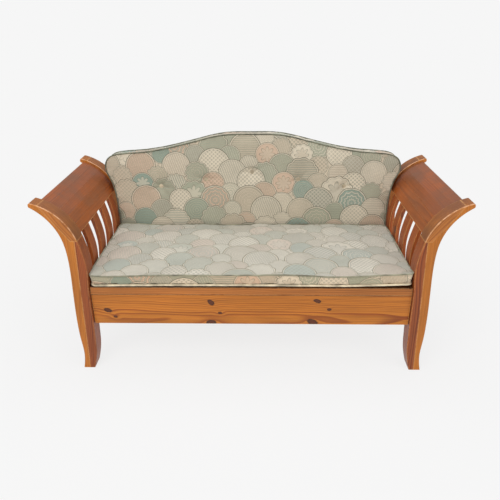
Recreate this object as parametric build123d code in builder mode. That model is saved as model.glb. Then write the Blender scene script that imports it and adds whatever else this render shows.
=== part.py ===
from build123d import *
import os
from math import asin, cos, pi, radians, sin, sqrt

# Swedish pull-out bench bed in pine.
# X runs along the bench, -Y is the front, +Z is up.
# The origin is on the floor, under the middle of the bench.

os.makedirs("parts", exist_ok=True)

# ---------------------------------------------------------------- driving sizes, mm

# Whole bench
OPENING = 1400.0  # narrowest clear width between the two end frames
FRAME_DEPTH = 700.0  # front of the front posts to the back of the rear posts
SEAT_TOP = 416.0  # top of the slats, and of the apron
EDGE_RADIUS = 3.0  # worn rounding on the long edges

# Posts: sabre foot, straight leg, and a scroll that flares out to carry the arm.
# "in" and "out" are distances from the opening's side to the two edges of the post.
POST_DEPTH = 70.0
FOOT_IN = 18.0
FOOT_WIDTH = 51.0
ANKLE_HEIGHT = 78.0
ANKLE_IN = 3.0
ANKLE_OUT = 60.5
CALF_HEIGHT = 150.0
CALF_OUT = 67.5
KNEE_HEIGHT = 225.0
KNEE_OUT = 73.0
WAIST_IN = 3.0
WAIST_OUT = 74.5
GLUE_LINE = 39.0  # where the inner board of the post meets the outer one
SHOULDER_HEIGHT = 642.0  # top of the inner board, where the scroll block sits
SHOULDER_IN = 27.0
FLARE_DROP = 22.0  # below the shoulder, where the outer edge starts to flare
FLARE_OUT = 85.0
LIP_RADIUS = 258.0
FLARE_RADIUS = 260.0
ARM_REACH = 213.0  # tip of the scroll, outward from the opening's side
ARM_RISE = 174.0  # tip of the scroll, above the shoulder
NOSE_DROP = 20.0
NOSE_RADIUS = 8.0
BLOCK_FOOT = 56.0  # outer end of the scroll block's seat on the shoulder
BLOCK_TIP = 177.0  # where the scroll block feathers out under the lip

# Coopered arm panel, and the slats and rail below it
STAVES = 5
LIP_PROUD = 9.0  # the post's lip stands above the staves
STAVE_THICKNESS = 19.0
STAVE_NOSE = 7.0
STAVE_JOINT = 0.2  # fine open joint between two staves
PANEL_RISE = 4.0  # foot of the lowest stave, above the shoulder
PANEL_REACH = 194.0
SIDE_SLATS = 4
SIDE_SLAT_WIDTH = 63.0
SIDE_SLAT_THICKNESS = 18.0
SIDE_SET_BACK = 14.0  # slats and rail stand outside the post's inner edge
SIDE_RAIL_THICKNESS = 24.0
SIDE_RAIL_HEIGHT = 100.0
SIDE_RAIL_TOP = 400.0
SLAT_ROUND = 2.0

# Fixed seat
SEAT_SLATS = 13  # every second one slides with the apron
SEAT_SLAT_WIDTH = 95.0
SEAT_SLAT_THICKNESS = 18.0
SEAT_SIDE_GAP = 3.0
BEARER_SET_BACK = 74.0
BEARER_THICKNESS = 28.0
BEARER_HEIGHT = 40.0
SLAT_OVERHANG = 6.0
REAR_RAIL_SET_BACK = 10.0  # from the rear posts' front face
REAR_RAIL_THICKNESS = 28.0
REAR_RAIL_HEIGHT = 100.0

# Pull-out front
APRON_SET_BACK = 15.0
APRON_THICKNESS = 22.0
APRON_HEIGHT = 187.0  # board and cap together
APRON_CLEARANCE = 2.5
CAP_HEIGHT = 37.0
CAP_PROUD = 3.0
CAP_THICKNESS = 28.0
CAP_ROUND = 2.5
BATTEN_THICKNESS = 24.0
BATTEN_HEIGHT = 30.0
BATTEN_END_GAP = 100.0
REAR_BATTEN_SET_BACK = 20.0  # from the rear rail, when pushed in
STOP_GAP = 4.0  # left between the rear batten and the bearer when fully out

# Fold-down legs behind the apron
LEG_PIVOT_IN = 80.0  # pivot, inward from the opening's side
LEG_UNDER_BATTEN = 20.0
LEG_WIDTH = 44.0
LEG_THICKNESS = 20.0
LEG_FOOT_GAP = 1.0
LEG_ROUND = 2.0
LEG_PLAY = 0.5
PIVOT_RADIUS = 4.0
PIVOT_PLAY = 0.05
PIVOT_HEAD_RADIUS = 9.0
PIVOT_HEAD_HEIGHT = 5.0
PIVOT_GRIP = 15.0
STOP_WIDTH = 26.0
STOP_HEIGHT = 60.0
STOP_THICKNESS = 18.0
STOP_DROP = 36.0
STOP_CLEARANCE = 0.3

# Back frame, leaning between the rear posts
BACK_LEAN = 4.5
BACK_SET_BACK = 5.0  # from the rear posts' front face, at the seat
BACK_THICKNESS = 24.0
BACK_RAIL_LIFT = 26.0
BACK_RAIL_HEIGHT = 60.0
CREST_HEIGHT = 112.0
CREST_END_DROP = 76.0  # foot of the crest rail's ends, below the posts' shoulder
CREST_END_WIDTH = 60.0
CREST_CORNER = 40.0
CREST_BOLT_RISE = 28.0
CREST_UNDER_CUSHION = 46.0
BACK_SLATS = 9
BACK_SLAT_WIDTH = 56.0
BACK_SLAT_THICKNESS = 14.0
BACK_SLAT_PITCH = 142.0

# Cushions
SOFT_GAP = 0.3
SEAT_CUSHION_THICKNESS = 60.0
SEAT_CUSHION_SIDE_GAP = 3.0
SEAT_CUSHION_SET_BACK = 6.0
SEAT_CUSHION_CORNER = 14.0
CUSHION_GAP = 3.0
CUSHION_POST_GAP = 4.0
BACK_CUSHION_THICKNESS = 90.0
BACK_CUSHION_SPREAD = 12.0  # wider than the opening, at the seat
EAR_SPREAD = 68.0
EAR_CORNER = 17.0  # rounding at the top of the ears
EAR_TUCK = 27.0  # how far the ears draw in again below their widest point
EAR_TUCK_SHARE = 0.8  # where, as a share of that point's height
CAMEL_RISE = 206.0  # flat shoulders of the camel back, above the posts' shoulder
EAR_DROP = 70.0  # widest point of the ears, below those
HUMP = 104.0
BUTTON_RADIUS = 13.0
BUTTON_HEIGHT = 6.0
BUTTON_ROUND = 3.0

# Fasteners
BOLT_RADIUS = 4.0
BOLT_PLAY = 0.1
BOLT_HEAD_RADIUS = 8.0
BOLT_HEAD_HEIGHT = 5.0
BOLT_RECESS = 14.0
CREST_BOLT_RECESS = 7.0
BOLT_BITE = 45.0
BARREL_RADIUS = 6.0
BARREL_SET_IN = 34.0
BARREL_LENGTH = 18.0
SCREW_RADIUS = 2.0
SCREW_HEAD_RADIUS = 4.0
SCREW_LENGTH = 32.0

# ---------------------------------------------------------------- places worked out from them

HALF_OPENING = OPENING / 2
FRONT = -FRAME_DEPTH / 2
BACK = FRAME_DEPTH / 2
POST_BACK = FRONT + POST_DEPTH  # rear face of the front posts
REAR_POST_FRONT = BACK - POST_DEPTH
SLAT_UNDERSIDE = SEAT_TOP - SEAT_SLAT_THICKNESS
ARM_HEIGHT = SHOULDER_HEIGHT + ARM_RISE
FLARE_HEIGHT = SHOULDER_HEIGHT - FLARE_DROP
PANEL_BOTTOM = SHOULDER_HEIGHT + PANEL_RISE
LEG_PIVOT_HEIGHT = SLAT_UNDERSIDE - BATTEN_HEIGHT - LEG_UNDER_BATTEN - LEG_WIDTH / 2
FAR = 2 * OPENING  # beyond everything, for trimming

# Heights on the leaning back are "lifts": they count up along it from the seat.
CREST_END_LIFT = SHOULDER_HEIGHT - SEAT_TOP - CREST_END_DROP
SHOULDER_LIFT = SHOULDER_HEIGHT - SEAT_TOP + CAMEL_RISE
EAR_LIFT = SHOULDER_LIFT - EAR_DROP


def section(y):
    """Upright plane across the bench at depth y: its x is X, its y is Z."""
    return Plane.XZ.offset(-y)


def save(name, piece):
    """Label a finished piece and write it as one node."""
    piece.part.label = name
    export_step(piece.part, f"parts/{name}.step")


def save_both(name, piece):
    """Write a right-hand piece, and its mirror image for the left."""
    save(f"{name}_right", piece)
    with BuildPart() as mirrored:
        mirror(piece.part, about=Plane.YZ)
    save(f"{name}_left", mirrored)


# ---------------------------------------------------------------- post outline

LIP_START = (HALF_OPENING + SHOULDER_IN, SHOULDER_HEIGHT)
LIP_END = (HALF_OPENING + ARM_REACH, ARM_HEIGHT)
NOSE_END = (HALF_OPENING + ARM_REACH, ARM_HEIGHT - NOSE_DROP)
FLARE_END = (HALF_OPENING + FLARE_OUT, FLARE_HEIGHT)
FOOT_OUT = FOOT_IN + FOOT_WIDTH
INSTEP_SLOPE = (-0.25, 1)  # of the post's inner edge at the floor
HEEL_SLOPE = (0.2, -1)  # of its outer edge there


def arc_center(start, end, radius):
    """Center of the arc that bulges to the left of the way from start to end."""
    run = Vector(end[0] - start[0], end[1] - start[1])
    middle = Vector((start[0] + end[0]) / 2, (start[1] + end[1]) / 2)
    across = Vector(run.Y, -run.X).normalized()
    return middle + across * sqrt(radius**2 - (run.length / 2) ** 2)


LIP_CENTER = arc_center(LIP_START, LIP_END, LIP_RADIUS)
LIP_SLOPE = Vector(LIP_START[1] - LIP_CENTER.Y, LIP_CENTER.X - LIP_START[0])
FLARE_CENTER = arc_center(FLARE_END, NOSE_END, FLARE_RADIUS)
FLARE_SLOPE = Vector(FLARE_END[1] - FLARE_CENTER.Y, FLARE_CENTER.X - FLARE_END[0])


def inner_points(shift):
    """Points of the post's inner edge from floor to shoulder, moved outward by shift."""
    edge = (
        (FOOT_IN, 0),
        (ANKLE_IN, ANKLE_HEIGHT),
        (0, CALF_HEIGHT),
        (0, KNEE_HEIGHT),
        (WAIST_IN, SEAT_TOP),
        (SHOULDER_IN, SHOULDER_HEIGHT),
    )
    return [(HALF_OPENING + out + shift, height) for out, height in edge]


def outside_of_inner_edge(shift):
    """Sketch of all that lies outward of the post's inner edge and lip, moved by shift."""
    with BuildSketch() as region:
        with BuildLine():
            points = inner_points(shift)
            Spline(points, tangents=[INSTEP_SLOPE, LIP_SLOPE])
            lip_end = (LIP_END[0] + shift, LIP_END[1])
            RadiusArc((LIP_START[0] + shift, LIP_START[1]), lip_end, LIP_RADIUS)
            Polyline(lip_end, (FAR, ARM_HEIGHT), (FAR, 0), points[0])
        make_face()
    return region.sketch


def beyond_posts(gap, y_from, y_to):
    """Solids that fill all space outward of the opening, from gap inside the posts."""
    right = outside_of_inner_edge(-gap)
    with BuildPart() as filling:
        with BuildSketch(section(y_to)):
            add(right)
            mirror(right, about=Plane.YZ)
        extrude(amount=y_to - y_from)
    return filling.part


# ---------------------------------------------------------------- posts, in three glued pieces

with BuildPart() as post_blank:
    with BuildSketch(section(POST_BACK)) as post_outline:
        with BuildLine():
            Spline(inner_points(0), tangents=[INSTEP_SLOPE, LIP_SLOPE])
            RadiusArc(LIP_START, LIP_END, LIP_RADIUS)
            Line(LIP_END, NOSE_END)
            RadiusArc(NOSE_END, FLARE_END, -FLARE_RADIUS)
            Spline(
                FLARE_END,
                (HALF_OPENING + WAIST_OUT, SEAT_TOP),
                (HALF_OPENING + KNEE_OUT, KNEE_HEIGHT),
                (HALF_OPENING + CALF_OUT, CALF_HEIGHT),
                (HALF_OPENING + ANKLE_OUT, ANKLE_HEIGHT),
                (HALF_OPENING + FOOT_OUT, 0),
                tangents=[-FLARE_SLOPE, HEEL_SLOPE],
            )
            Line((HALF_OPENING + FOOT_OUT, 0), (HALF_OPENING + FOOT_IN, 0))
        make_face()
        fillet(post_outline.vertices().group_by(Axis.X)[-1], NOSE_RADIUS)
    extrude(amount=POST_DEPTH)
    long_edges = post_blank.faces().filter_by(Axis.Y).edges()
    fillet(long_edges.filter_by(lambda edge: edge.center().Z > EDGE_RADIUS), EDGE_RADIUS)

BLOCK_TOP = LIP_CENTER.Y + sqrt(LIP_RADIUS**2 - (HALF_OPENING + BLOCK_TIP - LIP_CENTER.X) ** 2)


def inner_board_region():
    """Everything inside the glue line and below the shoulder."""
    with Locations(((HALF_OPENING + GLUE_LINE) / 2, SHOULDER_HEIGHT / 2)):
        return Rectangle(HALF_OPENING + GLUE_LINE, SHOULDER_HEIGHT)


def scroll_block_region():
    """Everything above the shoulder and inside the sloping joint."""
    return Polygon(
        (0, SHOULDER_HEIGHT),
        (HALF_OPENING + BLOCK_FOOT, SHOULDER_HEIGHT),
        (HALF_OPENING + BLOCK_TIP, BLOCK_TOP),
        (HALF_OPENING + BLOCK_TIP, 2 * ARM_HEIGHT),
        (0, 2 * ARM_HEIGHT),
        align=None,
    )


with BuildPart() as post_inner_board:
    add(post_blank.part)
    with BuildSketch(section(POST_BACK)):
        inner_board_region()
    extrude(amount=POST_DEPTH, mode=Mode.INTERSECT)

with BuildPart() as scroll_block:
    add(post_blank.part)
    with BuildSketch(section(POST_BACK)):
        scroll_block_region()
    extrude(amount=POST_DEPTH, mode=Mode.INTERSECT)

with BuildPart() as post_outer_board:
    add(post_blank.part)
    with BuildSketch(section(POST_BACK)):
        inner_board_region()
        scroll_block_region()
    extrude(amount=POST_DEPTH, mode=Mode.SUBTRACT)

save_both("front_post_inner_board", post_inner_board)
save_both("front_post_outer_board", post_outer_board)
save_both("front_scroll_block", scroll_block)

# ---------------------------------------------------------------- where the bolts go

REAR_RAIL_FRONT = REAR_POST_FRONT + REAR_RAIL_SET_BACK
REAR_RAIL_Y = REAR_RAIL_FRONT + REAR_RAIL_THICKNESS / 2
REAR_RAIL_Z = SLAT_UNDERSIDE - REAR_RAIL_HEIGHT / 2
BEARER_Y = FRONT + BEARER_SET_BACK + BEARER_THICKNESS / 2
BEARER_Z = SLAT_UNDERSIDE - BEARER_HEIGHT / 2
BACK_FRONT_Y = REAR_POST_FRONT + BACK_SET_BACK  # at the height of the seat
LEAN = radians(BACK_LEAN)
CREST_BOLT_LIFT = CREST_END_LIFT + CREST_BOLT_RISE
CREST_BOLT_Y = BACK_FRONT_Y + CREST_BOLT_LIFT * sin(LEAN) + BACK_THICKNESS / 2
CREST_BOLT_Z = SEAT_TOP + CREST_BOLT_LIFT * cos(LEAN)
SIDE_RAIL_INNER = HALF_OPENING + SIDE_SET_BACK
SIDE_RAIL_OUTER = SIDE_RAIL_INNER + SIDE_RAIL_THICKNESS
POST_FACE_X = HALF_OPENING + WAIST_OUT

# (x of the head's seat, x of the joint that the bolt pulls together, y, z)
REAR_RAIL_BOLT = (POST_FACE_X - BOLT_RECESS, HALF_OPENING, REAR_RAIL_Y, REAR_RAIL_Z)
CREST_BOLT = (POST_FACE_X - CREST_BOLT_RECESS, HALF_OPENING + WAIST_IN, CREST_BOLT_Y, CREST_BOLT_Z)
BEARER_BOLT = (SIDE_RAIL_OUTER, SIDE_RAIL_INNER, BEARER_Y, BEARER_Z)
POST_BOLTS = (REAR_RAIL_BOLT, CREST_BOLT)


def rod_along_x(x_from, x_to, y, z, radius, mode=Mode.ADD):
    """Round bar or hole along X."""
    with Locations(Location(((x_from + x_to) / 2, y, z), (0, 90, 0))):
        Cylinder(radius, abs(x_to - x_from), mode=mode)


def rod_along_y(x, y_from, y_to, z, radius, mode=Mode.ADD):
    """Round bar or hole along Y."""
    with Locations(Location((x, (y_from + y_to) / 2, z), (90, 0, 0))):
        Cylinder(radius, y_to - y_from, mode=mode)


def bolt_hole(seat_x, joint_x, y, z, side=1):
    """Clearance hole from the seat of the head to the tip of the bolt."""
    hole = BOLT_RADIUS + BOLT_PLAY
    rod_along_x(side * (joint_x - BOLT_BITE), side * seat_x, y, z, hole, Mode.SUBTRACT)


def head_recess(seat_x, joint_x, y, z):
    """Counterbore that takes the bolt's head, open to the outside."""
    rod_along_x(seat_x, seat_x + POST_DEPTH, y, z, BOLT_HEAD_RADIUS + BOLT_PLAY, Mode.SUBTRACT)


def bolted_ends(seat_x, joint_x, y, z):
    """Bolt holes in both ends of a rail, with cross holes for the nuts, open to the back."""
    hole = BARREL_RADIUS + BOLT_PLAY
    for side in (1, -1):
        bolt_hole(seat_x, joint_x, y, z, side)
        nut_x = side * (joint_x - BARREL_SET_IN)
        rod_along_y(nut_x, y - BARREL_LENGTH / 2, y + BARREL_LENGTH, z, hole, Mode.SUBTRACT)


for board_name, board in (
    ("rear_post_inner_board", post_inner_board),
    ("rear_post_outer_board", post_outer_board),
    ("rear_scroll_block", scroll_block),
):
    with BuildPart() as rear_board:
        mirror(board.part, about=Plane.XZ)
        if board is not scroll_block:
            for bolt in POST_BOLTS:
                bolt_hole(*bolt)
                head_recess(*bolt)
    save_both(board_name, rear_board)

# ---------------------------------------------------------------- coopered arm panels

STAVE_OUTER_RADIUS = LIP_RADIUS - LIP_PROUD
STAVE_INNER_RADIUS = STAVE_OUTER_RADIUS - STAVE_THICKNESS
PANEL_END = HALF_OPENING + PANEL_REACH


def angle_at_height(radius, height):
    """Angle round the lip's center of the left-hand point at a height."""
    return pi - asin((height - LIP_CENTER.Y) / radius)


def around_lip(radius, angle):
    return (LIP_CENTER.X + radius * cos(angle), LIP_CENTER.Y + radius * sin(angle))


LAST_ANGLE = pi / 2 + asin((LIP_CENTER.X - PANEL_END) / STAVE_OUTER_RADIUS)
FIRST_OUTER = angle_at_height(STAVE_OUTER_RADIUS, PANEL_BOTTOM)
FIRST_INNER = angle_at_height(STAVE_INNER_RADIUS, PANEL_BOTTOM)

with BuildPart() as arm_staves:
    for stave in range(STAVES):
        low = FIRST_OUTER + (LAST_ANGLE - FIRST_OUTER) * stave / STAVES
        high = FIRST_OUTER + (LAST_ANGLE - FIRST_OUTER) * (stave + 1) / STAVES
        high += STAVE_JOINT / STAVE_INNER_RADIUS
        corners = [
            around_lip(STAVE_OUTER_RADIUS, low),
            around_lip(STAVE_OUTER_RADIUS, high),
            around_lip(STAVE_INNER_RADIUS, high),
            around_lip(STAVE_INNER_RADIUS, FIRST_INNER if stave == 0 else low),
        ]
        with BuildSketch(section(REAR_POST_FRONT)) as stave_end:
            Polygon(corners, align=None)
            if stave == STAVES - 1:
                fillet(stave_end.vertices().sort_by(Axis.X)[-2:], STAVE_NOSE)
        extrude(amount=REAR_POST_FRONT - POST_BACK)

save_both("arm_staves", arm_staves)

# ---------------------------------------------------------------- side slats and side rails

SIDE_SPAN = REAR_POST_FRONT - POST_BACK
SIDE_SLAT_GAP = (SIDE_SPAN - SIDE_SLATS * SIDE_SLAT_WIDTH) / (SIDE_SLATS + 1)
SIDE_RAIL_BOTTOM = SIDE_RAIL_TOP - SIDE_RAIL_HEIGHT
SLAT_INSIDE = outside_of_inner_edge(SIDE_SET_BACK)
SLAT_OUTSIDE = outside_of_inner_edge(SIDE_SET_BACK + SIDE_SLAT_THICKNESS)

for number in range(1, SIDE_SLATS + 1):
    slat_back = POST_BACK + number * (SIDE_SLAT_GAP + SIDE_SLAT_WIDTH)
    with BuildPart() as side_slat:
        with BuildSketch(section(slat_back)):
            add(SLAT_INSIDE)
            add(SLAT_OUTSIDE, mode=Mode.SUBTRACT)
            with Locations((HALF_OPENING, (SIDE_RAIL_TOP + PANEL_BOTTOM) / 2)):
                Rectangle(OPENING, PANEL_BOTTOM - SIDE_RAIL_TOP, mode=Mode.INTERSECT)
        extrude(amount=SIDE_SLAT_WIDTH)
        rims = side_slat.faces().filter_by(Axis.Y).edges()
        fillet(rims.filter_by(Axis.X, reverse=True), SLAT_ROUND)
    save_both(f"side_slat_{number}", side_slat)

with BuildPart() as side_rail:
    with BuildSketch(section(REAR_POST_FRONT)):
        with Locations((SIDE_RAIL_INNER, SIDE_RAIL_BOTTOM)):
            Rectangle(SIDE_RAIL_THICKNESS, SIDE_RAIL_HEIGHT, align=(Align.MIN, Align.MIN))
    extrude(amount=SIDE_SPAN)
    bolt_hole(*BEARER_BOLT)
save_both("side_rail", side_rail)

# ---------------------------------------------------------------- where the seat's pieces go

SLAT_STEP = (OPENING - 2 * SEAT_SIDE_GAP - SEAT_SLAT_WIDTH) / (SEAT_SLATS - 1)
SLAT_CENTERS = [SLAT_STEP * (k - (SEAT_SLATS - 1) / 2) for k in range(SEAT_SLATS)]
FIXED_CENTERS = SLAT_CENTERS[0::2]
SLIDING_CENTERS = SLAT_CENTERS[1::2]
BEARER_FRONT = FRONT + BEARER_SET_BACK
BEARER_BACK = BEARER_FRONT + BEARER_THICKNESS
REAR_RAIL_BACK = REAR_RAIL_FRONT + REAR_RAIL_THICKNESS
BOARD_FRONT = FRONT + APRON_SET_BACK
BOARD_BACK = BOARD_FRONT + APRON_THICKNESS
BOARD_TOP = SEAT_TOP - CAP_HEIGHT
BOARD_BOTTOM = SEAT_TOP - APRON_HEIGHT
CAP_FRONT = BOARD_FRONT - CAP_PROUD
CAP_BACK = CAP_FRONT + CAP_THICKNESS
BATTEN_HALF = HALF_OPENING - BATTEN_END_GAP
FRONT_BATTEN_Y = CAP_BACK + BATTEN_THICKNESS / 2
REAR_BATTEN_BACK = REAR_RAIL_FRONT - REAR_BATTEN_SET_BACK
REAR_BATTEN_Y = REAR_BATTEN_BACK - BATTEN_THICKNESS / 2
TRAVEL = REAR_BATTEN_BACK - BATTEN_THICKNESS - BEARER_BACK - STOP_GAP
SCREW_BITE = SCREW_LENGTH - SEAT_SLAT_THICKNESS
RAIL_HALF = HALF_OPENING + SHOULDER_IN  # longer than needed, then cut to the posts
REAR_POSTS = beyond_posts(0, REAR_POST_FRONT, BACK)
FRONT_POSTS = beyond_posts(APRON_CLEARANCE, FRONT, POST_BACK)


def pilot_holes(centers, y):
    """Holes that the slat screws bite into, below the slats."""
    with Locations([(x, y, SLAT_UNDERSIDE - SCREW_BITE / 2) for x in centers]):
        Cylinder(SCREW_RADIUS, SCREW_BITE, mode=Mode.SUBTRACT)


# ---------------------------------------------------------------- seat bearer and rear rail

with BuildPart() as front_bearer:
    with Locations((0, BEARER_Y, BEARER_Z)):
        Box(2 * SIDE_RAIL_INNER, BEARER_THICKNESS, BEARER_HEIGHT)
    bolted_ends(*BEARER_BOLT)
    pilot_holes(FIXED_CENTERS, BEARER_Y)
save("front_bearer", front_bearer)

with BuildPart() as rear_seat_rail:
    with Locations((0, REAR_RAIL_Y, REAR_RAIL_Z)):
        Box(2 * RAIL_HALF, REAR_RAIL_THICKNESS, REAR_RAIL_HEIGHT)
    add(REAR_POSTS, mode=Mode.SUBTRACT)
    bolted_ends(*REAR_RAIL_BOLT)
    pilot_holes(FIXED_CENTERS, REAR_RAIL_Y)
save("rear_seat_rail", rear_seat_rail)

# ---------------------------------------------------------------- seat slats, fixed and sliding


def seat_slat(name, x, y_from, y_to, screw_ys):
    """One slat, its long top edges rounded, with a countersunk hole over each support."""
    with BuildPart() as board:
        with Locations((x, (y_from + y_to) / 2, SEAT_TOP - SEAT_SLAT_THICKNESS / 2)):
            Box(SEAT_SLAT_WIDTH, y_to - y_from, SEAT_SLAT_THICKNESS)
        top = board.faces().sort_by(Axis.Z)[-1]
        fillet(top.edges().filter_by(Axis.Y), SLAT_ROUND)
        with Locations([(x, y, SEAT_TOP) for y in screw_ys]):
            CounterSinkHole(SCREW_RADIUS, SCREW_HEAD_RADIUS, counter_sink_angle=90)
    save(name, board)


for number, x in enumerate(FIXED_CENTERS, start=1):
    front_end = BEARER_FRONT - SLAT_OVERHANG
    supports = (BEARER_Y, REAR_RAIL_Y)
    seat_slat(f"fixed_seat_slat_{number}", x, front_end, REAR_RAIL_BACK, supports)

for number, x in enumerate(SLIDING_CENTERS, start=1):
    supports = (FRONT_BATTEN_Y, REAR_BATTEN_Y)
    seat_slat(f"sliding_seat_slat_{number}", x, CAP_BACK, REAR_BATTEN_BACK, supports)

# ---------------------------------------------------------------- pull-out front

PIVOT_X = HALF_OPENING - LEG_PIVOT_IN
LEG_FRONT = BOARD_BACK + LEG_PLAY
LEG_BACK = LEG_FRONT + LEG_THICKNESS
PIVOT_SEAT = LEG_BACK + LEG_PLAY
PIVOT_TIP = BOARD_BACK - PIVOT_GRIP

with BuildPart() as apron_board:
    with Locations((0, (BOARD_FRONT + BOARD_BACK) / 2, (BOARD_TOP + BOARD_BOTTOM) / 2)):
        Box(2 * RAIL_HALF, APRON_THICKNESS, BOARD_TOP - BOARD_BOTTOM)
    add(FRONT_POSTS, mode=Mode.SUBTRACT)
    board_face = apron_board.faces().sort_by(Axis.Y)[0]
    fillet(board_face.edges().sort_by(Axis.Z)[0], SLAT_ROUND)
    for pivot_x in (PIVOT_X, -PIVOT_X):
        rod_along_y(
            pivot_x, PIVOT_TIP, BOARD_BACK, LEG_PIVOT_HEIGHT, PIVOT_RADIUS, Mode.SUBTRACT
        )
save("apron_board", apron_board)

with BuildPart() as apron_cap:
    with Locations((0, (CAP_FRONT + CAP_BACK) / 2, SEAT_TOP - CAP_HEIGHT / 2)):
        Box(2 * RAIL_HALF, CAP_THICKNESS, CAP_HEIGHT)
    add(FRONT_POSTS, mode=Mode.SUBTRACT)
    cap_face = apron_cap.faces().sort_by(Axis.Y)[0]
    fillet(cap_face.edges().filter_by(Axis.X), CAP_ROUND)
save("apron_cap", apron_cap)


def sliding_batten(name, y):
    """Crosspiece that joins the sliding slats from below."""
    with BuildPart() as batten:
        with Locations((0, y, SLAT_UNDERSIDE - BATTEN_HEIGHT / 2)):
            Box(2 * BATTEN_HALF, BATTEN_THICKNESS, BATTEN_HEIGHT)
        pilot_holes(SLIDING_CENTERS, y)
    save(name, batten)


sliding_batten("front_batten", FRONT_BATTEN_Y)
sliding_batten("rear_batten", REAR_BATTEN_Y)

# ---------------------------------------------------------------- fold-down legs, folded in

LEG_LENGTH = LEG_PIVOT_HEIGHT - LEG_FOOT_GAP

with BuildPart() as leg:
    with BuildSketch(section(LEG_BACK)) as leg_outline:
        with Locations((PIVOT_X, LEG_PIVOT_HEIGHT)):
            Circle(LEG_WIDTH / 2)
            Rectangle(LEG_LENGTH, LEG_WIDTH, align=(Align.MAX, Align.CENTER))
            Circle(PIVOT_RADIUS + PIVOT_PLAY, mode=Mode.SUBTRACT)
        fillet(leg_outline.vertices().group_by(Axis.X)[0], 2 * LEG_ROUND)
    extrude(amount=LEG_THICKNESS)
    fillet(leg.faces().filter_by(Axis.Y).edges().filter_by(Axis.X), LEG_ROUND)
save_both("fold_down_leg", leg)

with BuildPart() as leg_stop:
    stop_x = PIVOT_X + LEG_WIDTH / 2 + STOP_CLEARANCE
    with Locations((stop_x, BOARD_BACK, LEG_PIVOT_HEIGHT - STOP_DROP)):
        Box(STOP_WIDTH, STOP_THICKNESS, STOP_HEIGHT, align=(Align.MIN, Align.MIN, Align.MAX))
    fillet(leg_stop.edges().filter_by(Axis.Y), LEG_ROUND)
save_both("leg_stop_block", leg_stop)

with BuildPart() as leg_pivot_bolts:
    head_end = PIVOT_SEAT + PIVOT_HEAD_HEIGHT
    for pivot_x in (PIVOT_X, -PIVOT_X):
        rod_along_y(pivot_x, PIVOT_TIP, PIVOT_SEAT, LEG_PIVOT_HEIGHT, PIVOT_RADIUS)
        rod_along_y(pivot_x, PIVOT_SEAT, head_end, LEG_PIVOT_HEIGHT, PIVOT_HEAD_RADIUS)
    head_rims = leg_pivot_bolts.faces().group_by(Axis.Y)[-1].edges()
    fillet(head_rims, PIVOT_HEAD_HEIGHT / 3)
save("leg_pivot_bolts", leg_pivot_bolts)

# ---------------------------------------------------------------- back frame

# Its local x runs along the bench, and its local y up the leaning back from the seat.
BACK_PLANE = Plane((0, BACK_FRONT_Y, SEAT_TOP), x_dir=(1, 0, 0), z_dir=(0, -cos(LEAN), sin(LEAN)))

# The camel back: shares of the half length, and of the hump's height
CAMEL = (
    (0.0, 1.0),
    (0.182, 0.99),
    (0.354, 0.7),
    (0.465, 0.49),
    (0.586, 0.28),
    (0.729, 0.11),
    (0.885, 0.02),
)
UNDER_CREST_POINTS = 5  # how many of them the crest rail's lower edge follows
EAR_HALF = HALF_OPENING + EAR_SPREAD
CREST_HALF = EAR_HALF - CREST_UNDER_CUSHION
CREST_TOP = SHOULDER_LIFT - CREST_UNDER_CUSHION
CREST_LOW = CREST_TOP - CREST_HEIGHT


def camel_points(half_length, shoulder):
    """Points of a camel-back edge, from the middle outward."""
    return [(out * half_length, shoulder + up * HUMP) for out, up in CAMEL]


with BuildSketch() as crest_blank:
    with BuildLine():
        crest_edge = camel_points(CREST_HALF, CREST_TOP)
        Spline(crest_edge, tangents=[(1, 0), (1, 0)])
        crest_corner = (CREST_HALF, crest_edge[-1][1])
        crest_foot = (CREST_HALF, CREST_END_LIFT)
        Polyline(crest_edge[-1], crest_corner, crest_foot, (0, CREST_END_LIFT))
        mirror(about=Plane.YZ)
    make_face()
    outer_ends = crest_blank.vertices().filter_by(lambda end: abs(end.X) > CREST_HALF - 1)
    fillet(outer_ends.filter_by(lambda end: end.Y > CREST_END_LIFT + 1), CREST_CORNER)

with BuildSketch() as under_crest:
    with BuildLine():
        low_edge = camel_points(CREST_HALF, CREST_LOW)[:UNDER_CREST_POINTS]
        end_start = (HALF_OPENING - CREST_END_WIDTH, CREST_END_LIFT)
        Spline(low_edge + [end_start], tangents=[(1, 0), (1, 0)])
        Polyline(end_start, (FAR, CREST_END_LIFT), (FAR, 0), (0, 0))
        mirror(about=Plane.YZ)
    make_face()

with BuildPart() as crest_rail:
    with BuildSketch(BACK_PLANE):
        add(crest_blank.sketch)
        add(under_crest.sketch, mode=Mode.SUBTRACT)
    extrude(amount=-BACK_THICKNESS)
    add(REAR_POSTS, mode=Mode.SUBTRACT)
    bolted_ends(*CREST_BOLT)
save("crest_rail", crest_rail)

with BuildPart() as lower_back_rail:
    with BuildSketch(BACK_PLANE):
        with Locations((0, BACK_RAIL_LIFT)):
            Rectangle(2 * RAIL_HALF, BACK_RAIL_HEIGHT, align=(Align.CENTER, Align.MIN))
    extrude(amount=-BACK_THICKNESS)
    add(REAR_POSTS, mode=Mode.SUBTRACT)
save("lower_back_rail", lower_back_rail)

with BuildPart() as back_slats:
    with BuildSketch(BACK_PLANE.offset((BACK_SLAT_THICKNESS - BACK_THICKNESS) / 2)):
        slat_foot = BACK_RAIL_LIFT + BACK_RAIL_HEIGHT
        with Locations((0, slat_foot + SHOULDER_LIFT / 2)):
            with GridLocations(BACK_SLAT_PITCH, 0, BACK_SLATS, 1):
                Rectangle(BACK_SLAT_WIDTH, SHOULDER_LIFT)
        add(under_crest.sketch, mode=Mode.INTERSECT)
    extrude(amount=-BACK_SLAT_THICKNESS)
save("back_slats", back_slats)

# ---------------------------------------------------------------- cushions

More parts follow.
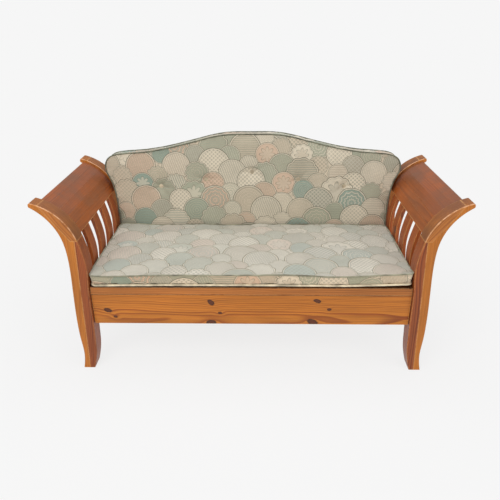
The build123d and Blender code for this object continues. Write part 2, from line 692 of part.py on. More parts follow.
SEAT_CUSHION_HALF = HALF_OPENING - SEAT_CUSHION_SIDE_GAP
CUSHION_FRONT_PLANE = BACK_PLANE.offset(SOFT_GAP + BACK_CUSHION_THICKNESS)
BACK_CUSHION_TOE = BACK_FRONT_Y - (SOFT_GAP + BACK_CUSHION_THICKNESS) / cos(LEAN)
SEAT_CUSHION_FRONT = FRONT + SEAT_CUSHION_SET_BACK
SEAT_CUSHION_BACK = BACK_CUSHION_TOE - CUSHION_GAP
BACK_CUSHION_HALF = HALF_OPENING + BACK_CUSHION_SPREAD

with BuildPart() as seat_cushion:
    with BuildSketch(Plane.XY.offset(SEAT_TOP + SOFT_GAP)) as seat_cushion_plan:
        with Locations((0, (SEAT_CUSHION_FRONT + SEAT_CUSHION_BACK) / 2)):
            Rectangle(2 * SEAT_CUSHION_HALF, SEAT_CUSHION_BACK - SEAT_CUSHION_FRONT)
        fillet(seat_cushion_plan.vertices(), SEAT_CUSHION_CORNER)
    extrude(amount=SEAT_CUSHION_THICKNESS)
save("seat_cushion", seat_cushion)

# The cushion squeezes in between the rear posts, and between the arm panels before them.
POSTS_TRIM = beyond_posts(CUSHION_POST_GAP, REAR_POST_FRONT - SOFT_GAP, BACK)
PANELS_TRIM = beyond_posts(SOFT_GAP - LIP_PROUD, POST_BACK, REAR_POST_FRONT)

with BuildPart() as back_cushion:
    with BuildSketch(CUSHION_FRONT_PLANE):
        with BuildLine():
            ear = [
                (EAR_HALF - EAR_CORNER, (EAR_LIFT + 2 * SHOULDER_LIFT) / 3),
                (EAR_HALF, EAR_LIFT),
                (EAR_HALF - EAR_TUCK, EAR_TUCK_SHARE * EAR_LIFT),
                (BACK_CUSHION_HALF + BACK_CUSHION_SPREAD / 3, EAR_LIFT / 2),
                (BACK_CUSHION_HALF, 0),
            ]
            Spline(camel_points(EAR_HALF, SHOULDER_LIFT) + ear, tangents=[(1, 0), (0, -1)])
            Polyline((BACK_CUSHION_HALF, 0), (BACK_CUSHION_HALF, -EAR_SPREAD), (0, -EAR_SPREAD))
            mirror(about=Plane.YZ)
        make_face()
    extrude(amount=-BACK_CUSHION_THICKNESS)
    with Locations((0, 0, SEAT_TOP + SOFT_GAP)):
        Box(FAR, FAR, FAR, align=(Align.CENTER, Align.CENTER, Align.MIN), mode=Mode.INTERSECT)
    add(POSTS_TRIM, mode=Mode.SUBTRACT)
    add(PANELS_TRIM, mode=Mode.SUBTRACT)
save("back_cushion", back_cushion)

# Buttons: distance from the middle, and how far they are below the shoulders
BUTTONS = ((0.0, 77.0), (240.0, 118.0), (480.0, 155.0))

with BuildPart() as back_cushion_buttons:
    with BuildSketch(CUSHION_FRONT_PLANE):
        with Locations([(side * x, SHOULDER_LIFT - y) for x, y in BUTTONS for side in (1, -1)]):
            Circle(BUTTON_RADIUS)
    extrude(amount=BUTTON_HEIGHT)
    crowns = back_cushion_buttons.faces().filter_by(lambda face: face.normal_at().Y < -0.5)
    fillet(crowns.filter_by(GeomType.PLANE).edges(), BUTTON_ROUND)
save("back_cushion_buttons", back_cushion_buttons)

# ---------------------------------------------------------------- bolts, barrel nuts, screws

FRAME_BOLTS = (REAR_RAIL_BOLT, CREST_BOLT, BEARER_BOLT)

with BuildPart() as connector_bolts:
    for seat_x, joint_x, y, z in FRAME_BOLTS:
        for side in (1, -1):
            head_x = side * (seat_x + BOLT_HEAD_HEIGHT)
            rod_along_x(side * (joint_x - BOLT_BITE), side * seat_x, y, z, BOLT_RADIUS)
            rod_along_x(side * seat_x, head_x, y, z, BOLT_HEAD_RADIUS)
save("connector_bolts", connector_bolts)

with BuildPart() as barrel_nuts:
    for seat_x, joint_x, y, z in FRAME_BOLTS:
        for nut_x in (joint_x - BARREL_SET_IN, BARREL_SET_IN - joint_x):
            rod_along_y(nut_x, y - BARREL_LENGTH / 2, y + BARREL_LENGTH / 2, z, BARREL_RADIUS)
            thread = BOLT_RADIUS + BOLT_PLAY
            reach = 2 * BARREL_RADIUS
            rod_along_x(nut_x - reach, nut_x + reach, y, z, thread, Mode.SUBTRACT)
save("barrel_nuts", barrel_nuts)


def slat_screws(name, centers, ys):
    """Countersunk screws, flush with the top of the slats."""
    down = (Align.CENTER, Align.CENTER, Align.MAX)
    with BuildPart() as screws:
        with Locations([(x, y, SEAT_TOP) for x in centers for y in ys]):
            Cylinder(SCREW_RADIUS, SCREW_LENGTH, align=down)
            Cone(SCREW_RADIUS, SCREW_HEAD_RADIUS, SCREW_HEAD_RADIUS - SCREW_RADIUS, align=down)
    save(name, screws)


slat_screws("fixed_slat_screws", FIXED_CENTERS, (BEARER_Y, REAR_RAIL_Y))
slat_screws("sliding_slat_screws", SLIDING_CENTERS, (FRONT_BATTEN_Y, REAR_BATTEN_Y))

print("travel of the pull-out front", TRAVEL)
print("leg pivots", PIVOT_X, (LEG_FRONT + LEG_BACK) / 2, LEG_PIVOT_HEIGHT)
print("foot centers", HALF_OPENING + FOOT_IN + FOOT_WIDTH / 2, FRONT + POST_DEPTH / 2)
print("seat cushion", SEAT_CUSHION_HALF, SEAT_CUSHION_FRONT, SEAT_CUSHION_BACK)
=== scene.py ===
from math import atan2, ceil, cos, exp, pi, radians, sin

import bmesh
import bpy
from mathutils import Matrix, Vector, kdtree, noise


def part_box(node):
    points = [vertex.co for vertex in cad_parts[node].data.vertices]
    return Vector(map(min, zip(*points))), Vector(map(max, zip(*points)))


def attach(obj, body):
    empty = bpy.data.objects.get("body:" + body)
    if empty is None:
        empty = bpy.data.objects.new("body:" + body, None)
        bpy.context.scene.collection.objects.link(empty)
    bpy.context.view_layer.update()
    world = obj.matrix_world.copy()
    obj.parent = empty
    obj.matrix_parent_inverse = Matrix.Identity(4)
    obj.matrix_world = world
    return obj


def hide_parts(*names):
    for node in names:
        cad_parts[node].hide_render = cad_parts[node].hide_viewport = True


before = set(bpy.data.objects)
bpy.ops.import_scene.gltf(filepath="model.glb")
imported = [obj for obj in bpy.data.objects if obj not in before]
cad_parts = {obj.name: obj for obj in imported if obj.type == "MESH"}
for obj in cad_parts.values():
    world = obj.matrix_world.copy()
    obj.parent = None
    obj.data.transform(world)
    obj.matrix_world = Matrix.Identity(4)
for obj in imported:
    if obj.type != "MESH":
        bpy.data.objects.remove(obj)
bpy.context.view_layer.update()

SCENE = bpy.context.scene
COLLECTION = SCENE.collection

# ---------------------------------------------------------------- sizes, metres

MM = 0.001
LEAN = radians(4.5)  # of the back
FLOOR_TONE = 0.922  # the pale background, linear

# Camera, in the bench's own frame
CAMERA_AT = (0.046, -2.2346, 1.5778)
CAMERA_YAW = radians(1.307)
CAMERA_PITCH = radians(18.772)
CAMERA_ROLL = radians(-0.445)
CAMERA_LENS = 36.0
CAMERA_SHIFT = -0.15

# The arms' lip: its arc's centre (outward, up) and radius, and the angles of its staves
LIP_CENTRE = (0.9733, 0.5651)
LIP_RADIUS = 0.258
FIRST_STAVE = 2.8107
STAVE_ANGLE = 0.18316

# Cushions
SEAM_STEP = 6 * MM  # between two points of a seam
VOXEL = 7 * MM
SEAM_HOLD = 0.8 * VOXEL  # the cloth is held this near its seams
CLOTH_FRAMES = 20
PIPING_RADIUS = 3.1 * MM
CREAM_PIPING_RADIUS = 4.8 * MM
CORD_SIDES = 8

# Linear colours. Each pine has two: between the dark grain lines, and in them.
PINE = ((0.52, 0.170, 0.016), (0.27, 0.060, 0.005))
PINE_POST = ((0.49, 0.158, 0.016), (0.40, 0.118, 0.012))
PINE_CAP = ((0.46, 0.158, 0.028), (0.21, 0.048, 0.006))
PINE_RED = ((0.31, 0.074, 0.014), (0.14, 0.024, 0.004))
PINE_SCROLL = ((0.44, 0.148, 0.026), (0.20, 0.050, 0.008))
PINE_ARM = ((0.370, 0.080, 0.004), (0.260, 0.052, 0.003))
PINE_SLAT = ((0.38, 0.088, 0.014), (0.14, 0.026, 0.005))
PINE_RAW = ((0.60, 0.40, 0.20), (0.42, 0.22, 0.09))
# up-facing tops: browned as by hands, with a painted sky sheen
PINE_BROWNED_AND_SHEEN = (0.20, 0.070, 0.026)
# a painted highlight along the edges
PINE_EDGE_HIGHLIGHT = (0.66, 0.33, 0.11)
# a painted highlight line on a lip's top front edge
PINE_LIP_HIGHLIGHT = (0.80, 0.44, 0.25)
ZINC = (0.62, 0.61, 0.58)
PLATED = (0.58, 0.54, 0.46)
KNOT_BROWN = (0.110, 0.026, 0.006)
KNOT_RIM = (0.022, 0.006, 0.003)
CREAM = (0.72, 0.64, 0.50)
BEIGE = (0.60, 0.51, 0.38)
SAGE = (0.41, 0.42, 0.31)
TEAL = (0.29, 0.37, 0.30)
TAUPE = (0.33, 0.30, 0.23)
PEACH = (0.64, 0.47, 0.34)
STONE = (0.50, 0.46, 0.36)
INK = (0.11, 0.115, 0.085)
LINE_STRENGTH = 0.55  # of the print's drawn lines
# Paler grey of the print: sun fading, and on the seat cushion's top a painted cool sky light
FADED_AND_SKYLIT = (0.60, 0.585, 0.53)


# ---------------------------------------------------------------- node trees written as formulas


class Tree:
    """A material's node tree. Its formulas take sockets or numbers, and return a socket."""

    def __init__(self, name):
        self.material = bpy.data.materials.new(name)
        self.material.use_nodes = True
        self.nodes = self.material.node_tree.nodes
        self.links = self.material.node_tree.links
        self.shader = self.nodes["Principled BSDF"]
        self.output = self.nodes["Material Output"]

    def set(self, socket, value):
        if isinstance(value, bpy.types.NodeSocket):
            self.links.new(value, socket)
        elif isinstance(value, (tuple, list)) and socket.type == "RGBA":
            socket.default_value = (*value[:3], 1.0)
        else:
            socket.default_value = value

    def math(self, operation, *values):
        node = self.nodes.new("ShaderNodeMath")
        node.operation = operation
        for socket, value in zip(node.inputs, values):
            self.set(socket, value)
        return node.outputs[0]

    def add(self, a, b):
        return self.math("ADD", a, b)

    def sub(self, a, b):
        return self.math("SUBTRACT", a, b)

    def mul(self, a, b):
        return self.math("MULTIPLY", a, b)

    def less(self, a, b):
        return self.math("LESS_THAN", a, b)

    def more(self, a, b):
        return self.math("GREATER_THAN", a, b)

    def fract(self, a):
        return self.math("FRACT", a)

    def length(self, a, b):
        return self.math("SQRT", self.add(self.mul(a, a), self.mul(b, b)))

    def wave(self, operation, angle, rate):
        """Lobes round a circle, from 0 to 1: the size of the sine or cosine."""
        return self.math("ABSOLUTE", self.math(operation, self.mul(angle, rate)))

    def smooth(self, value, low, high):
        node = self.nodes.new("ShaderNodeMapRange")
        node.interpolation_type = "SMOOTHSTEP"
        for socket, number in zip(node.inputs, (value, low, high)):
            self.set(socket, number)
        return node.outputs[0]

    def dot(self, vector, direction):
        node = self.nodes.new("ShaderNodeVectorMath")
        node.operation = "DOT_PRODUCT"
        self.set(node.inputs[0], vector)
        self.set(node.inputs[1], direction)
        return node.outputs["Value"]

    def vector(self, x, y=0.0, z=0.0):
        node = self.nodes.new("ShaderNodeCombineXYZ")
        for socket, value in zip(node.inputs, (x, y, z)):
            self.set(socket, value)
        return node.outputs[0]

    def noise(self, vector, scale=1.0, detail=2.0, roughness=0.5):
        node = self.nodes.new("ShaderNodeTexNoise")
        self.set(node.inputs["Vector"], vector)
        node.inputs["Scale"].default_value = scale
        node.inputs["Detail"].default_value = detail
        node.inputs["Roughness"].default_value = roughness
        return node.outputs[0]

    def random(self, vector):
        node = self.nodes.new("ShaderNodeTexWhiteNoise")
        self.set(node.inputs["Vector"], vector)
        return node.outputs["Value"]

    def mix(self, factor, a, b, blend="MIX", clamp=False):
        node = self.nodes.new("ShaderNodeMix")
        node.data_type = "RGBA"
        node.blend_type = blend
        node.clamp_factor = clamp
        self.set(node.inputs[0], factor)
        self.set(node.inputs[6], a)
        self.set(node.inputs[7], b)
        return node.outputs[2]

    def shaded(self, colour, tone):
        """The colour, times a grey tone."""
        return self.mix(1.0, colour, self.vector(tone, tone, tone), "MULTIPLY")

    def pick(self, value, colours):
        """One of the colours, by a value from 0 to 1."""
        node = self.nodes.new("ShaderNodeValToRGB")
        ramp = node.color_ramp
        ramp.interpolation = "CONSTANT"
        while len(ramp.elements) < len(colours):
            ramp.elements.new(0.5)
        for k, colour in enumerate(colours):
            ramp.elements[k].position = k / len(colours)
            ramp.elements[k].color = (*colour, 1.0)
        self.set(node.inputs[0], value)
        return node.outputs[0]

    def coordinates(self, kind):
        return self.nodes.new("ShaderNodeTexCoord").outputs[kind]

    def bump(self, height, distance, strength, normal=None):
        node = self.nodes.new("ShaderNodeBump")
        node.inputs["Strength"].default_value = strength
        node.inputs["Distance"].default_value = distance
        self.set(node.inputs["Height"], height)
        if normal is not None:
            self.set(node.inputs["Normal"], normal)
        return node.outputs[0]

    def finish(self, colour, roughness, normal, **constants):
        """Connects the surface. Other shader values are plain numbers."""
        self.set(self.shader.inputs["Base Color"], colour)
        self.set(self.shader.inputs["Roughness"], roughness)
        self.set(self.shader.inputs["Normal"], normal)
        for name, value in constants.items():
            self.shader.inputs[name.replace("_", " ")].default_value = value
        return self.material


# ---------------------------------------------------------------- pine

UP = (0, 0, 1)
RINGS_TAPER = 0.012  # growth of a ring's radius along the grain
RINGS_WANDER = 30 * MM
STAVES_SPREAD = 110 * MM  # of the staves' ring radii
LATE_WOOD = (0.25, 0.93, 1.0)  # shares of a year: starts, is darkest, ends
KNOT_SWIRL = 6 * MM
PAINTED_SHADOW_DEPTH = (1.0 * MM, 5.5 * MM)  # painted shadow line: below the top of a joint under an overhanging part
LIP_HIGHLIGHT_WIDTH = (2.0 * MM, 4.0 * MM)  # of the painted highlight line on a lip's top front edge
# reach of the painted edge highlight
EDGE_HIGHLIGHT_RADIUS = 6 * MM
SATIN = {"Coat_Roughness": 0.25, "Specular_IOR_Level": 0.35}


def from_lip_centre(tree, point):
    """Outward and upward distance of a point from the centre of its side's lip arc."""
    out = tree.sub(tree.math("ABSOLUTE", tree.dot(point, (1, 0, 0))), LIP_CENTRE[0])
    return out, tree.sub(tree.dot(point, UP), LIP_CENTRE[1])


def stave_number(tree, point):
    """Which stave of a coopered arm panel a point is in, from its angle round the lip's centre."""
    out, high = from_lip_centre(tree, point)
    angle = tree.math("ARCTAN2", high, out)
    return tree.math("FLOOR", tree.mul(tree.sub(FIRST_STAVE, angle), 1 / STAVE_ANGLE))


def lip_edge(tree, point, face_y):
    """1 on the top front edge of a post's lip, where a pale highlight line is painted."""
    out, high = from_lip_centre(tree, point)
    under = tree.math("ABSOLUTE", tree.sub(LIP_RADIUS, tree.length(out, high)))
    behind = tree.sub(tree.dot(point, (0, 1, 0)), face_y)
    edge = tree.sub(1.0, tree.smooth(tree.math("MAXIMUM", under, behind), *LIP_HIGHLIGHT_WIDTH))
    return tree.mul(edge, tree.more(high, 0.0))


def wood_axes(grain):
    """Unit vectors along the grain and, twice, across it."""
    grain = Vector(grain).normalized()
    side = Vector((1, 0, 0)) if grain.z > 0.9 else grain.cross(Vector(UP)).normalized()
    return grain, side, side.cross(grain).normalized()


def stretched_noise(tree, spot, lengthwise, crosswise, detail=3.0):
    """Noise with one scale along the grain and another across it."""
    along, across, up = spot
    place = tree.vector(
        tree.mul(along, lengthwise), tree.mul(across, crosswise), tree.mul(up, crosswise)
    )
    return tree.noise(place, 1.0, detail)


def add_knots(tree, point, spot, axes, knots):
    """How far knots push the rings outward, and where their hearts and dark rims are."""
    along, _, up = spot
    push = heart = rims = 0.0
    for place, length, height, slant in knots:
        east = tree.sub(along, Vector(place).dot(axes[0]))
        north = tree.sub(up, Vector(place).dot(axes[2]))
        far = tree.sub(
            tree.mul(east, cos(slant) / length), tree.mul(north, sin(slant) / length)
        )
        high = tree.add(
            tree.mul(east, sin(slant) / height), tree.mul(north, cos(slant) / height)
        )
        ragged = tree.mul(tree.noise(point, 160.0, 2.0), 0.5)
        reach = tree.add(tree.length(far, high), ragged)
        swirl = tree.math("EXPONENT", tree.mul(tree.mul(reach, reach), -0.20))
        push = tree.add(push, tree.mul(swirl, KNOT_SWIRL))
        heart = tree.math("MAXIMUM", heart, tree.sub(1.0, tree.smooth(reach, 0.85, 1.35)))
        from_rim = tree.math("ABSOLUTE", tree.sub(reach, 1.05))
        rims = tree.math("MAXIMUM", rims, tree.sub(1.0, tree.smooth(from_rim, 0.05, 0.30)))
    return push, heart, rims


def late_wood(tree, radius, ring):
    """Dark grain lines: 1 in the late wood of a year, uneven from year to year."""
    year = tree.mul(radius, 1 / ring)
    share = tree.fract(year)
    start, peak, end = LATE_WOOD
    line = tree.mul(tree.smooth(share, start, peak), tree.sub(1.0, tree.smooth(share, peak, end)))
    uneven = tree.random(tree.math("FLOOR", year))
    return tree.mul(line, tree.add(0.35, tree.mul(uneven, 0.75)))


def browned_and_sheened(tree, point, face, colour, handled):
    """Browner where hands rest, with a painted sky sheen: on up-facing surfaces, unevenly, not on
    the front.
    """
    upward = tree.smooth(tree.dot(face, UP), 0.0, handled)
    endwise = tree.smooth(tree.math("ABSOLUTE", tree.dot(face, (0, 1, 0))), 0.35, 0.75)
    place = tree.mul(upward, tree.sub(1.0, endwise))
    patches = tree.smooth(tree.noise(point, 8.0, 4.0), 0.32, 0.68)
    strength = tree.add(0.30, tree.mul(patches, 0.60))
    return tree.mix(tree.mul(place, strength), colour, PINE_BROWNED_AND_SHEEN)


def edge_highlight(tree, point, face, colour):
    """Paler in patches along the edges: a painted highlight on the rounded edges."""
    bevel = tree.nodes.new("ShaderNodeBevel")
    bevel.inputs["Radius"].default_value = EDGE_HIGHLIGHT_RADIUS
    turned = tree.sub(1.0, tree.dot(bevel.outputs[0], face))
    patchy = tree.smooth(tree.noise(point, 30.0, 3.0), 0.25, 0.55)
    edge_glint = tree.mul(tree.smooth(turned, 0.01, 0.09), patchy)
    return tree.mix(tree.mul(edge_glint, 0.70), colour, PINE_EDGE_HIGHLIGHT)


def pine(
    name, grain, pith, tones=PINE, ring=4.2 * MM, gloss=0.10,
    knots=(), staves=False, joint_height=None, handled=0.0, lip_y=None,
):
    """Solid pine: growth rings round a pith line, so that every cut shows its own figure.

    grain is the direction of the fibres, and pith a point on the pith line. A knot is
    (place, length, height, slant), its place being a point of the bench. A painted shadow
    darkens the top few millimetres below the height given for a joint that a part above
    overhangs. The up-facing slope given is how far up a surface faces where it is fully
    browned as by hands and given a painted sky sheen, and lip_y the front of a post whose
    lip gets a painted highlight on its top front edge.
    """
    tree = Tree(name)
    point = tree.coordinates("Object")
    axes = wood_axes(grain)
    along, across, up = spot = [tree.dot(point, tuple(axis)) for axis in axes]

    from_pith = tree.length(
        tree.sub(across, Vector(pith).dot(axes[1])), tree.sub(up, Vector(pith).dot(axes[2]))
    )
    radius = tree.add(from_pith, tree.mul(along, RINGS_TAPER))
    wander = stretched_noise(tree, spot, 1.6, 9.0, detail=2.0)
    radius = tree.add(radius, tree.mul(wander, RINGS_WANDER))
    board = 0.5
    if staves:
        board = tree.random(tree.vector(stave_number(tree, point), pith[0] * 9, 4.0))
        radius = tree.add(radius, tree.mul(board, STAVES_SPREAD))
    push, heart, rims = add_knots(tree, point, spot, axes, knots)
    late = late_wood(tree, tree.add(radius, push), ring)

    fibre = stretched_noise(tree, spot, 14.0, 520.0)
    cloudy = stretched_noise(tree, spot, 2.2, 16.0)
    streak = tree.smooth(stretched_noise(tree, spot, 3.5, 150.0), 0.35, 0.75)
    shade = tree.add(tree.mul(fibre, 0.50), tree.mul(cloudy, 0.80))
    shade = tree.add(tree.sub(shade, tree.mul(streak, 0.22)), 0.34)
    shade = tree.add(shade, tree.mul(board, 0.20))
    colour = tree.mix(late, *tones, clamp=True)
    colour = tree.shaded(colour, shade)
    colour = tree.mix(heart, colour, KNOT_BROWN)
    colour = tree.mix(tree.mul(rims, 0.75), colour, KNOT_RIM)
    # Painted shadow: the few millimetres below the joint's height, where a part above overhangs
    if joint_height:
        below = tree.sub(joint_height, tree.dot(point, UP))
        painted_shadow = tree.sub(1.0, tree.smooth(below, *PAINTED_SHADOW_DEPTH))
        colour = tree.mix(tree.mul(painted_shadow, 0.85), colour, KNOT_RIM)

    face = tree.nodes.new("ShaderNodeNewGeometry").outputs["True Normal"]
    # Up-facing surfaces browned as by hands and greyed by a painted sky sheen
    if handled:
        colour = browned_and_sheened(tree, point, face, colour, handled)
    # Painted highlight along the edges
    colour = edge_highlight(tree, point, face, colour)
    # Painted highlight line on the top front edge of a lip
    if lip_y is not None:
        lip_glint = tree.mul(tree.smooth(tree.noise(point, 45.0, 3.0), 0.30, 0.60), 0.75)
        colour = tree.mix(tree.mul(lip_edge(tree, point, lip_y), lip_glint), colour, PINE_LIP_HIGHLIGHT)

    roughness = tree.add(0.36, tree.mul(tree.noise(point, 26.0, 3.0), 0.18))
    normal = tree.bump(tree.add(fibre, tree.mul(late, 0.4)), 0.10 * MM, 0.55)
    normal = tree.bump(tree.noise(point, 11.0, 2.0), 1.2 * MM, 0.22, normal)
    return tree.finish(colour, roughness, normal, Coat_Weight=gloss, **SATIN)


def metal(name, colour, roughness, along=(1, 0, 0)):
    """Plated steel with fine turning marks and a little dirt."""
    tree = Tree(name)
    point = tree.coordinates("Object")
    marks = tree.noise(tree.vector(tree.mul(tree.dot(point, along), 2500.0), 3.0, 1.0), 1.0, 2.0)
    dirt = tree.noise(point, 300.0, 3.0)
    colour = tree.shaded(colour, tree.add(0.72, tree.mul(dirt, 0.5)))
    normal = tree.bump(marks, 0.03 * MM, 0.5)
    return tree.finish(colour, tree.add(roughness, tree.mul(dirt, 0.15)), normal, Metallic=1.0)


# ---------------------------------------------------------------- printed cotton


DISC = 80 * MM  # radius of the print's overlapping discs
DISC_PITCH = 2.30  # from disc to disc, in radii, as are all lengths of the print
ROW_PITCH = 0.62
ROWS_IN_REACH = (2, 1, 0, -1)  # painted in this order, each over the last
SMALLEST_DISC = 0.62
DISC_GROWTH = 0.46  # from the smallest to the largest
DISC_NUDGE = 0.40
WAVY_RIMS_FROM = 0.70  # discs with a higher random number have a wavy rim
DOTS_RATE = 3.9
DOT_RADIUS = 0.23
LATTICE_RATE = 2.4
LATTICE_WIDTH = 0.07
FIGURE_STRENGTH = 0.55
BAND_START = 0.915  # pale band inside a disc's rim
RIM_START = 0.958
INNER_LINE = (0.87, 0.012)  # place and half width
THREADS = 900.0  # in a metre
PALETTE = (BEIGE, SAGE, CREAM, PEACH, BEIGE, TEAL, CREAM, STONE, BEIGE, SAGE, CREAM, BEIGE)


def disc_row(tree, u, v, row_offset):
    """The disc of one row that lies nearest: its distance, direction and random number."""
    row = tree.add(tree.math("FLOOR", tree.mul(v, 1 / ROW_PITCH)), row_offset)
    stagger = tree.mul(tree.fract(tree.mul(row, 0.5)), DISC_PITCH)
    column = tree.math("ROUND", tree.mul(tree.sub(u, stagger), 1 / DISC_PITCH))
    luck, nudge, growth = (tree.random(tree.vector(column, row, seed)) for seed in (7.0, 3.0, 5.0))
    nudge = tree.mul(tree.sub(nudge, 0.5), DISC_NUDGE)
    centre_u = tree.add(tree.add(tree.mul(column, DISC_PITCH), stagger), nudge)
    centre_v = tree.add(tree.mul(row, ROW_PITCH), tree.mul(nudge, 0.8))
    du = tree.sub(u, centre_u)
    dv = tree.sub(v, centre_v)
    angle = tree.math("ARCTAN2", dv, du)
    size = tree.add(SMALLEST_DISC, tree.mul(growth, DISC_GROWTH))
    lobes = tree.wave("SINE", angle, 5.5)
    wavy = tree.mul(tree.more(luck, WAVY_RIMS_FROM), tree.mul(tree.sub(lobes, 0.6), 0.10))
    distance = tree.math("DIVIDE", tree.length(du, dv), tree.add(size, wavy))
    return distance, angle, luck, du, dv


def disc_figures(tree, distance, angle, du, dv):
    """Rings, stripes, hatching, dots, petals and scallops.

    Each is a number that is positive inside the figure, and within 1 of zero on its line.
    """

    def stripes(place, rate, threshold, steepness):
        return tree.mul(tree.sub(tree.math("SINE", tree.mul(place, rate)), threshold), steepness)

    slant = tree.add(du, tree.mul(dv, 0.35))
    dot_u = tree.sub(tree.fract(tree.mul(tree.add(du, dv), DOTS_RATE)), 0.5)
    dot_v = tree.sub(tree.fract(tree.mul(tree.sub(du, dv), DOTS_RATE)), 0.5)
    petal = tree.add(0.30, tree.mul(tree.wave("COSINE", angle, 4.0), 0.34))
    scallop = tree.add(distance, tree.mul(tree.wave("SINE", angle, 6.0), 0.09))
    return (
        stripes(distance, 38.0, 0.2, 3.0),
        stripes(slant, 44.0, 0.2, 2.4),
        stripes(dv, 52.0, 0.3, 2.4),
        tree.mul(tree.sub(DOT_RADIUS, tree.length(dot_u, dot_v)), 15.0),
        tree.mul(tree.sub(petal, distance), 34.0),
        stripes(scallop, 27.0, 0.0, 3.2),
    )


def disc_fill(tree, distance, angle, luck, du, dv, fade_and_skylight):
    """Colour of one disc: its ground, one of the figures, and its rim."""
    figures = disc_figures(tree, distance, angle, du, dv)
    kind = tree.math("FLOOR", tree.mul(tree.fract(tree.mul(luck, 13.0)), len(figures)))
    value = 0.0
    for number, figure in enumerate(figures):
        chosen = tree.math("COMPARE", kind, float(number), 0.1)
        value = tree.add(value, tree.mul(figure, chosen))
    ground = tree.pick(luck, PALETTE)
    second = tree.pick(tree.fract(tree.add(tree.mul(luck, 7.0), 0.37)), PALETTE)
    colour = tree.mix(tree.mul(tree.more(value, 0.0), FIGURE_STRENGTH), ground, second)
    # Greyed towards the pale tone: sun fading, and on the seat's top a painted sky light
    colour = tree.mix(fade_and_skylight, colour, FADED_AND_SKYLIT)
    line = tree.less(tree.math("ABSOLUTE", value), 1.0)
    colour = tree.mix(tree.mul(line, LINE_STRENGTH), colour, INK)
    line_place, line_half = INNER_LINE
    inner_line = tree.less(tree.math("ABSOLUTE", tree.sub(distance, line_place)), line_half)
    colour = tree.mix(tree.mul(inner_line, 0.5), colour, INK)
    colour = tree.mix(tree.mul(tree.more(distance, BAND_START), 0.80), colour, CREAM)
    return tree.mix(tree.mul(tree.more(distance, RIM_START), 0.85), colour, INK)


def lattice_ground(tree, u, v):
    """Pale lattice with a speck in each mesh, seen between the discs."""
    steps = [
        tree.math("ABSOLUTE", tree.sub(tree.fract(tree.mul(diagonal, LATTICE_RATE)), 0.5))
        for diagonal in (tree.add(u, v), tree.sub(u, v))
    ]
    bars = tree.less(tree.math("MINIMUM", *steps), LATTICE_WIDTH)
    colour = tree.mix(tree.mul(bars, 0.55), BEIGE, CREAM)
    speck = tree.less(tree.length(*(tree.sub(step, 0.5) for step in steps)), 0.17)
    return tree.mix(tree.mul(speck, 0.5), colour, TAUPE)


def printed_cotton(name, fade_and_skylight, warmth=1.0):
    """Furnishing cotton, printed with overlapping discs and a lattice, woven and showing a little
    wear.
    """
    tree = Tree(name)
    flat = tree.coordinates("UV")
    split = tree.nodes.new("ShaderNodeSeparateXYZ")
    tree.set(split.inputs[0], flat)
    across, along = split.outputs[:2]
    wobble = tree.mul(tree.sub(tree.noise(flat, 22.0, 1.0), 0.5), 0.05)
    u = tree.add(tree.mul(across, 1 / DISC), wobble)
    v = tree.add(tree.mul(along, 1 / DISC), wobble)

    # Greyed towards the pale tone: sun fading, and on the seat's top a painted sky light
    colour = tree.mix(fade_and_skylight, lattice_ground(tree, u, v), FADED_AND_SKYLIT)
    for row_offset in ROWS_IN_REACH:
        distance, angle, luck, du, dv = disc_row(tree, u, v, row_offset)
        fill = disc_fill(tree, distance, angle, luck, du, dv, fade_and_skylight)
        colour = tree.mix(tree.less(distance, 1.0), colour, fill)

    mottled = tree.noise(flat, 9.0, 4.0)
    yarn = tree.noise(tree.vector(tree.mul(across, THREADS), tree.mul(along, THREADS)), 1.0, 2.0)
    slubs = tree.noise(tree.vector(tree.mul(across, 420.0), tree.mul(along, 130.0)), 1.0, 3.0, 0.6)
    tone = tree.add(0.42, tree.mul(mottled, 0.30))
    tone = tree.add(tone, tree.add(tree.mul(yarn, 0.24), tree.mul(slubs, 0.42)))
    tint = tree.vector(tree.mul(tone, warmth), tone, tree.mul(tone, 1 / warmth))
    colour = tree.mix(1.0, colour, tint, "MULTIPLY")

    warp = tree.math("SINE", tree.mul(across, 2 * pi * THREADS))
    weft = tree.math("SINE", tree.mul(along, 2 * pi * THREADS))
    weave = tree.bump(tree.mul(warp, weft), 0.08 * MM, 0.35)
    creases = tree.noise(tree.vector(tree.mul(u, 0.8), tree.mul(v, 1.7)), 1.6, 4.0, 0.55)
    normal = tree.bump(creases, 5.0 * MM, 0.28, weave)
    return tree.finish(colour, 0.93, normal, Sheen_Weight=0.15, Sheen_Roughness=0.5)


def piping_cloth(name, colour):
    """Cloth on the bias over a cord, dirtier in patches."""
    tree = Tree(name)
    point = tree.coordinates("Object")
    patches = tree.smooth(tree.noise(point, 22.0, 3.0), 0.30, 0.70)
    colour = tree.shaded(colour, tree.add(0.65, tree.mul(patches, 0.75)))
    normal = tree.bump(tree.noise(point, 700.0, 2.0), 0.25 * MM, 0.5)
    return tree.finish(colour, 0.95, normal, Sheen_Weight=0.1)


# ---------------------------------------------------------------- soft goods: helpers


def resample(points, step):
    """The closed line through the points, as evenly spaced points."""
    points = [Vector(point) for point in points]
    lengths = [(points[k] - points[k - 1]).length for k in range(len(points))]
    total = sum(lengths)
    count = ceil(total / step)
    out = []
    k = 0
    walked = 0.0
    start = points[-1]
    for n in range(count):
        target = total * n / count
        while walked + lengths[k] < target:
            walked += lengths[k]
            start = points[k]
            k += 1
        share = (target - walked) / max(lengths[k], 1e-9)
        out.append(start.lerp(points[k], share))
    return out


def new_object(name, mesh):
    piece = bpy.data.objects.new(name, mesh)
    COLLECTION.objects.link(piece)
    return piece


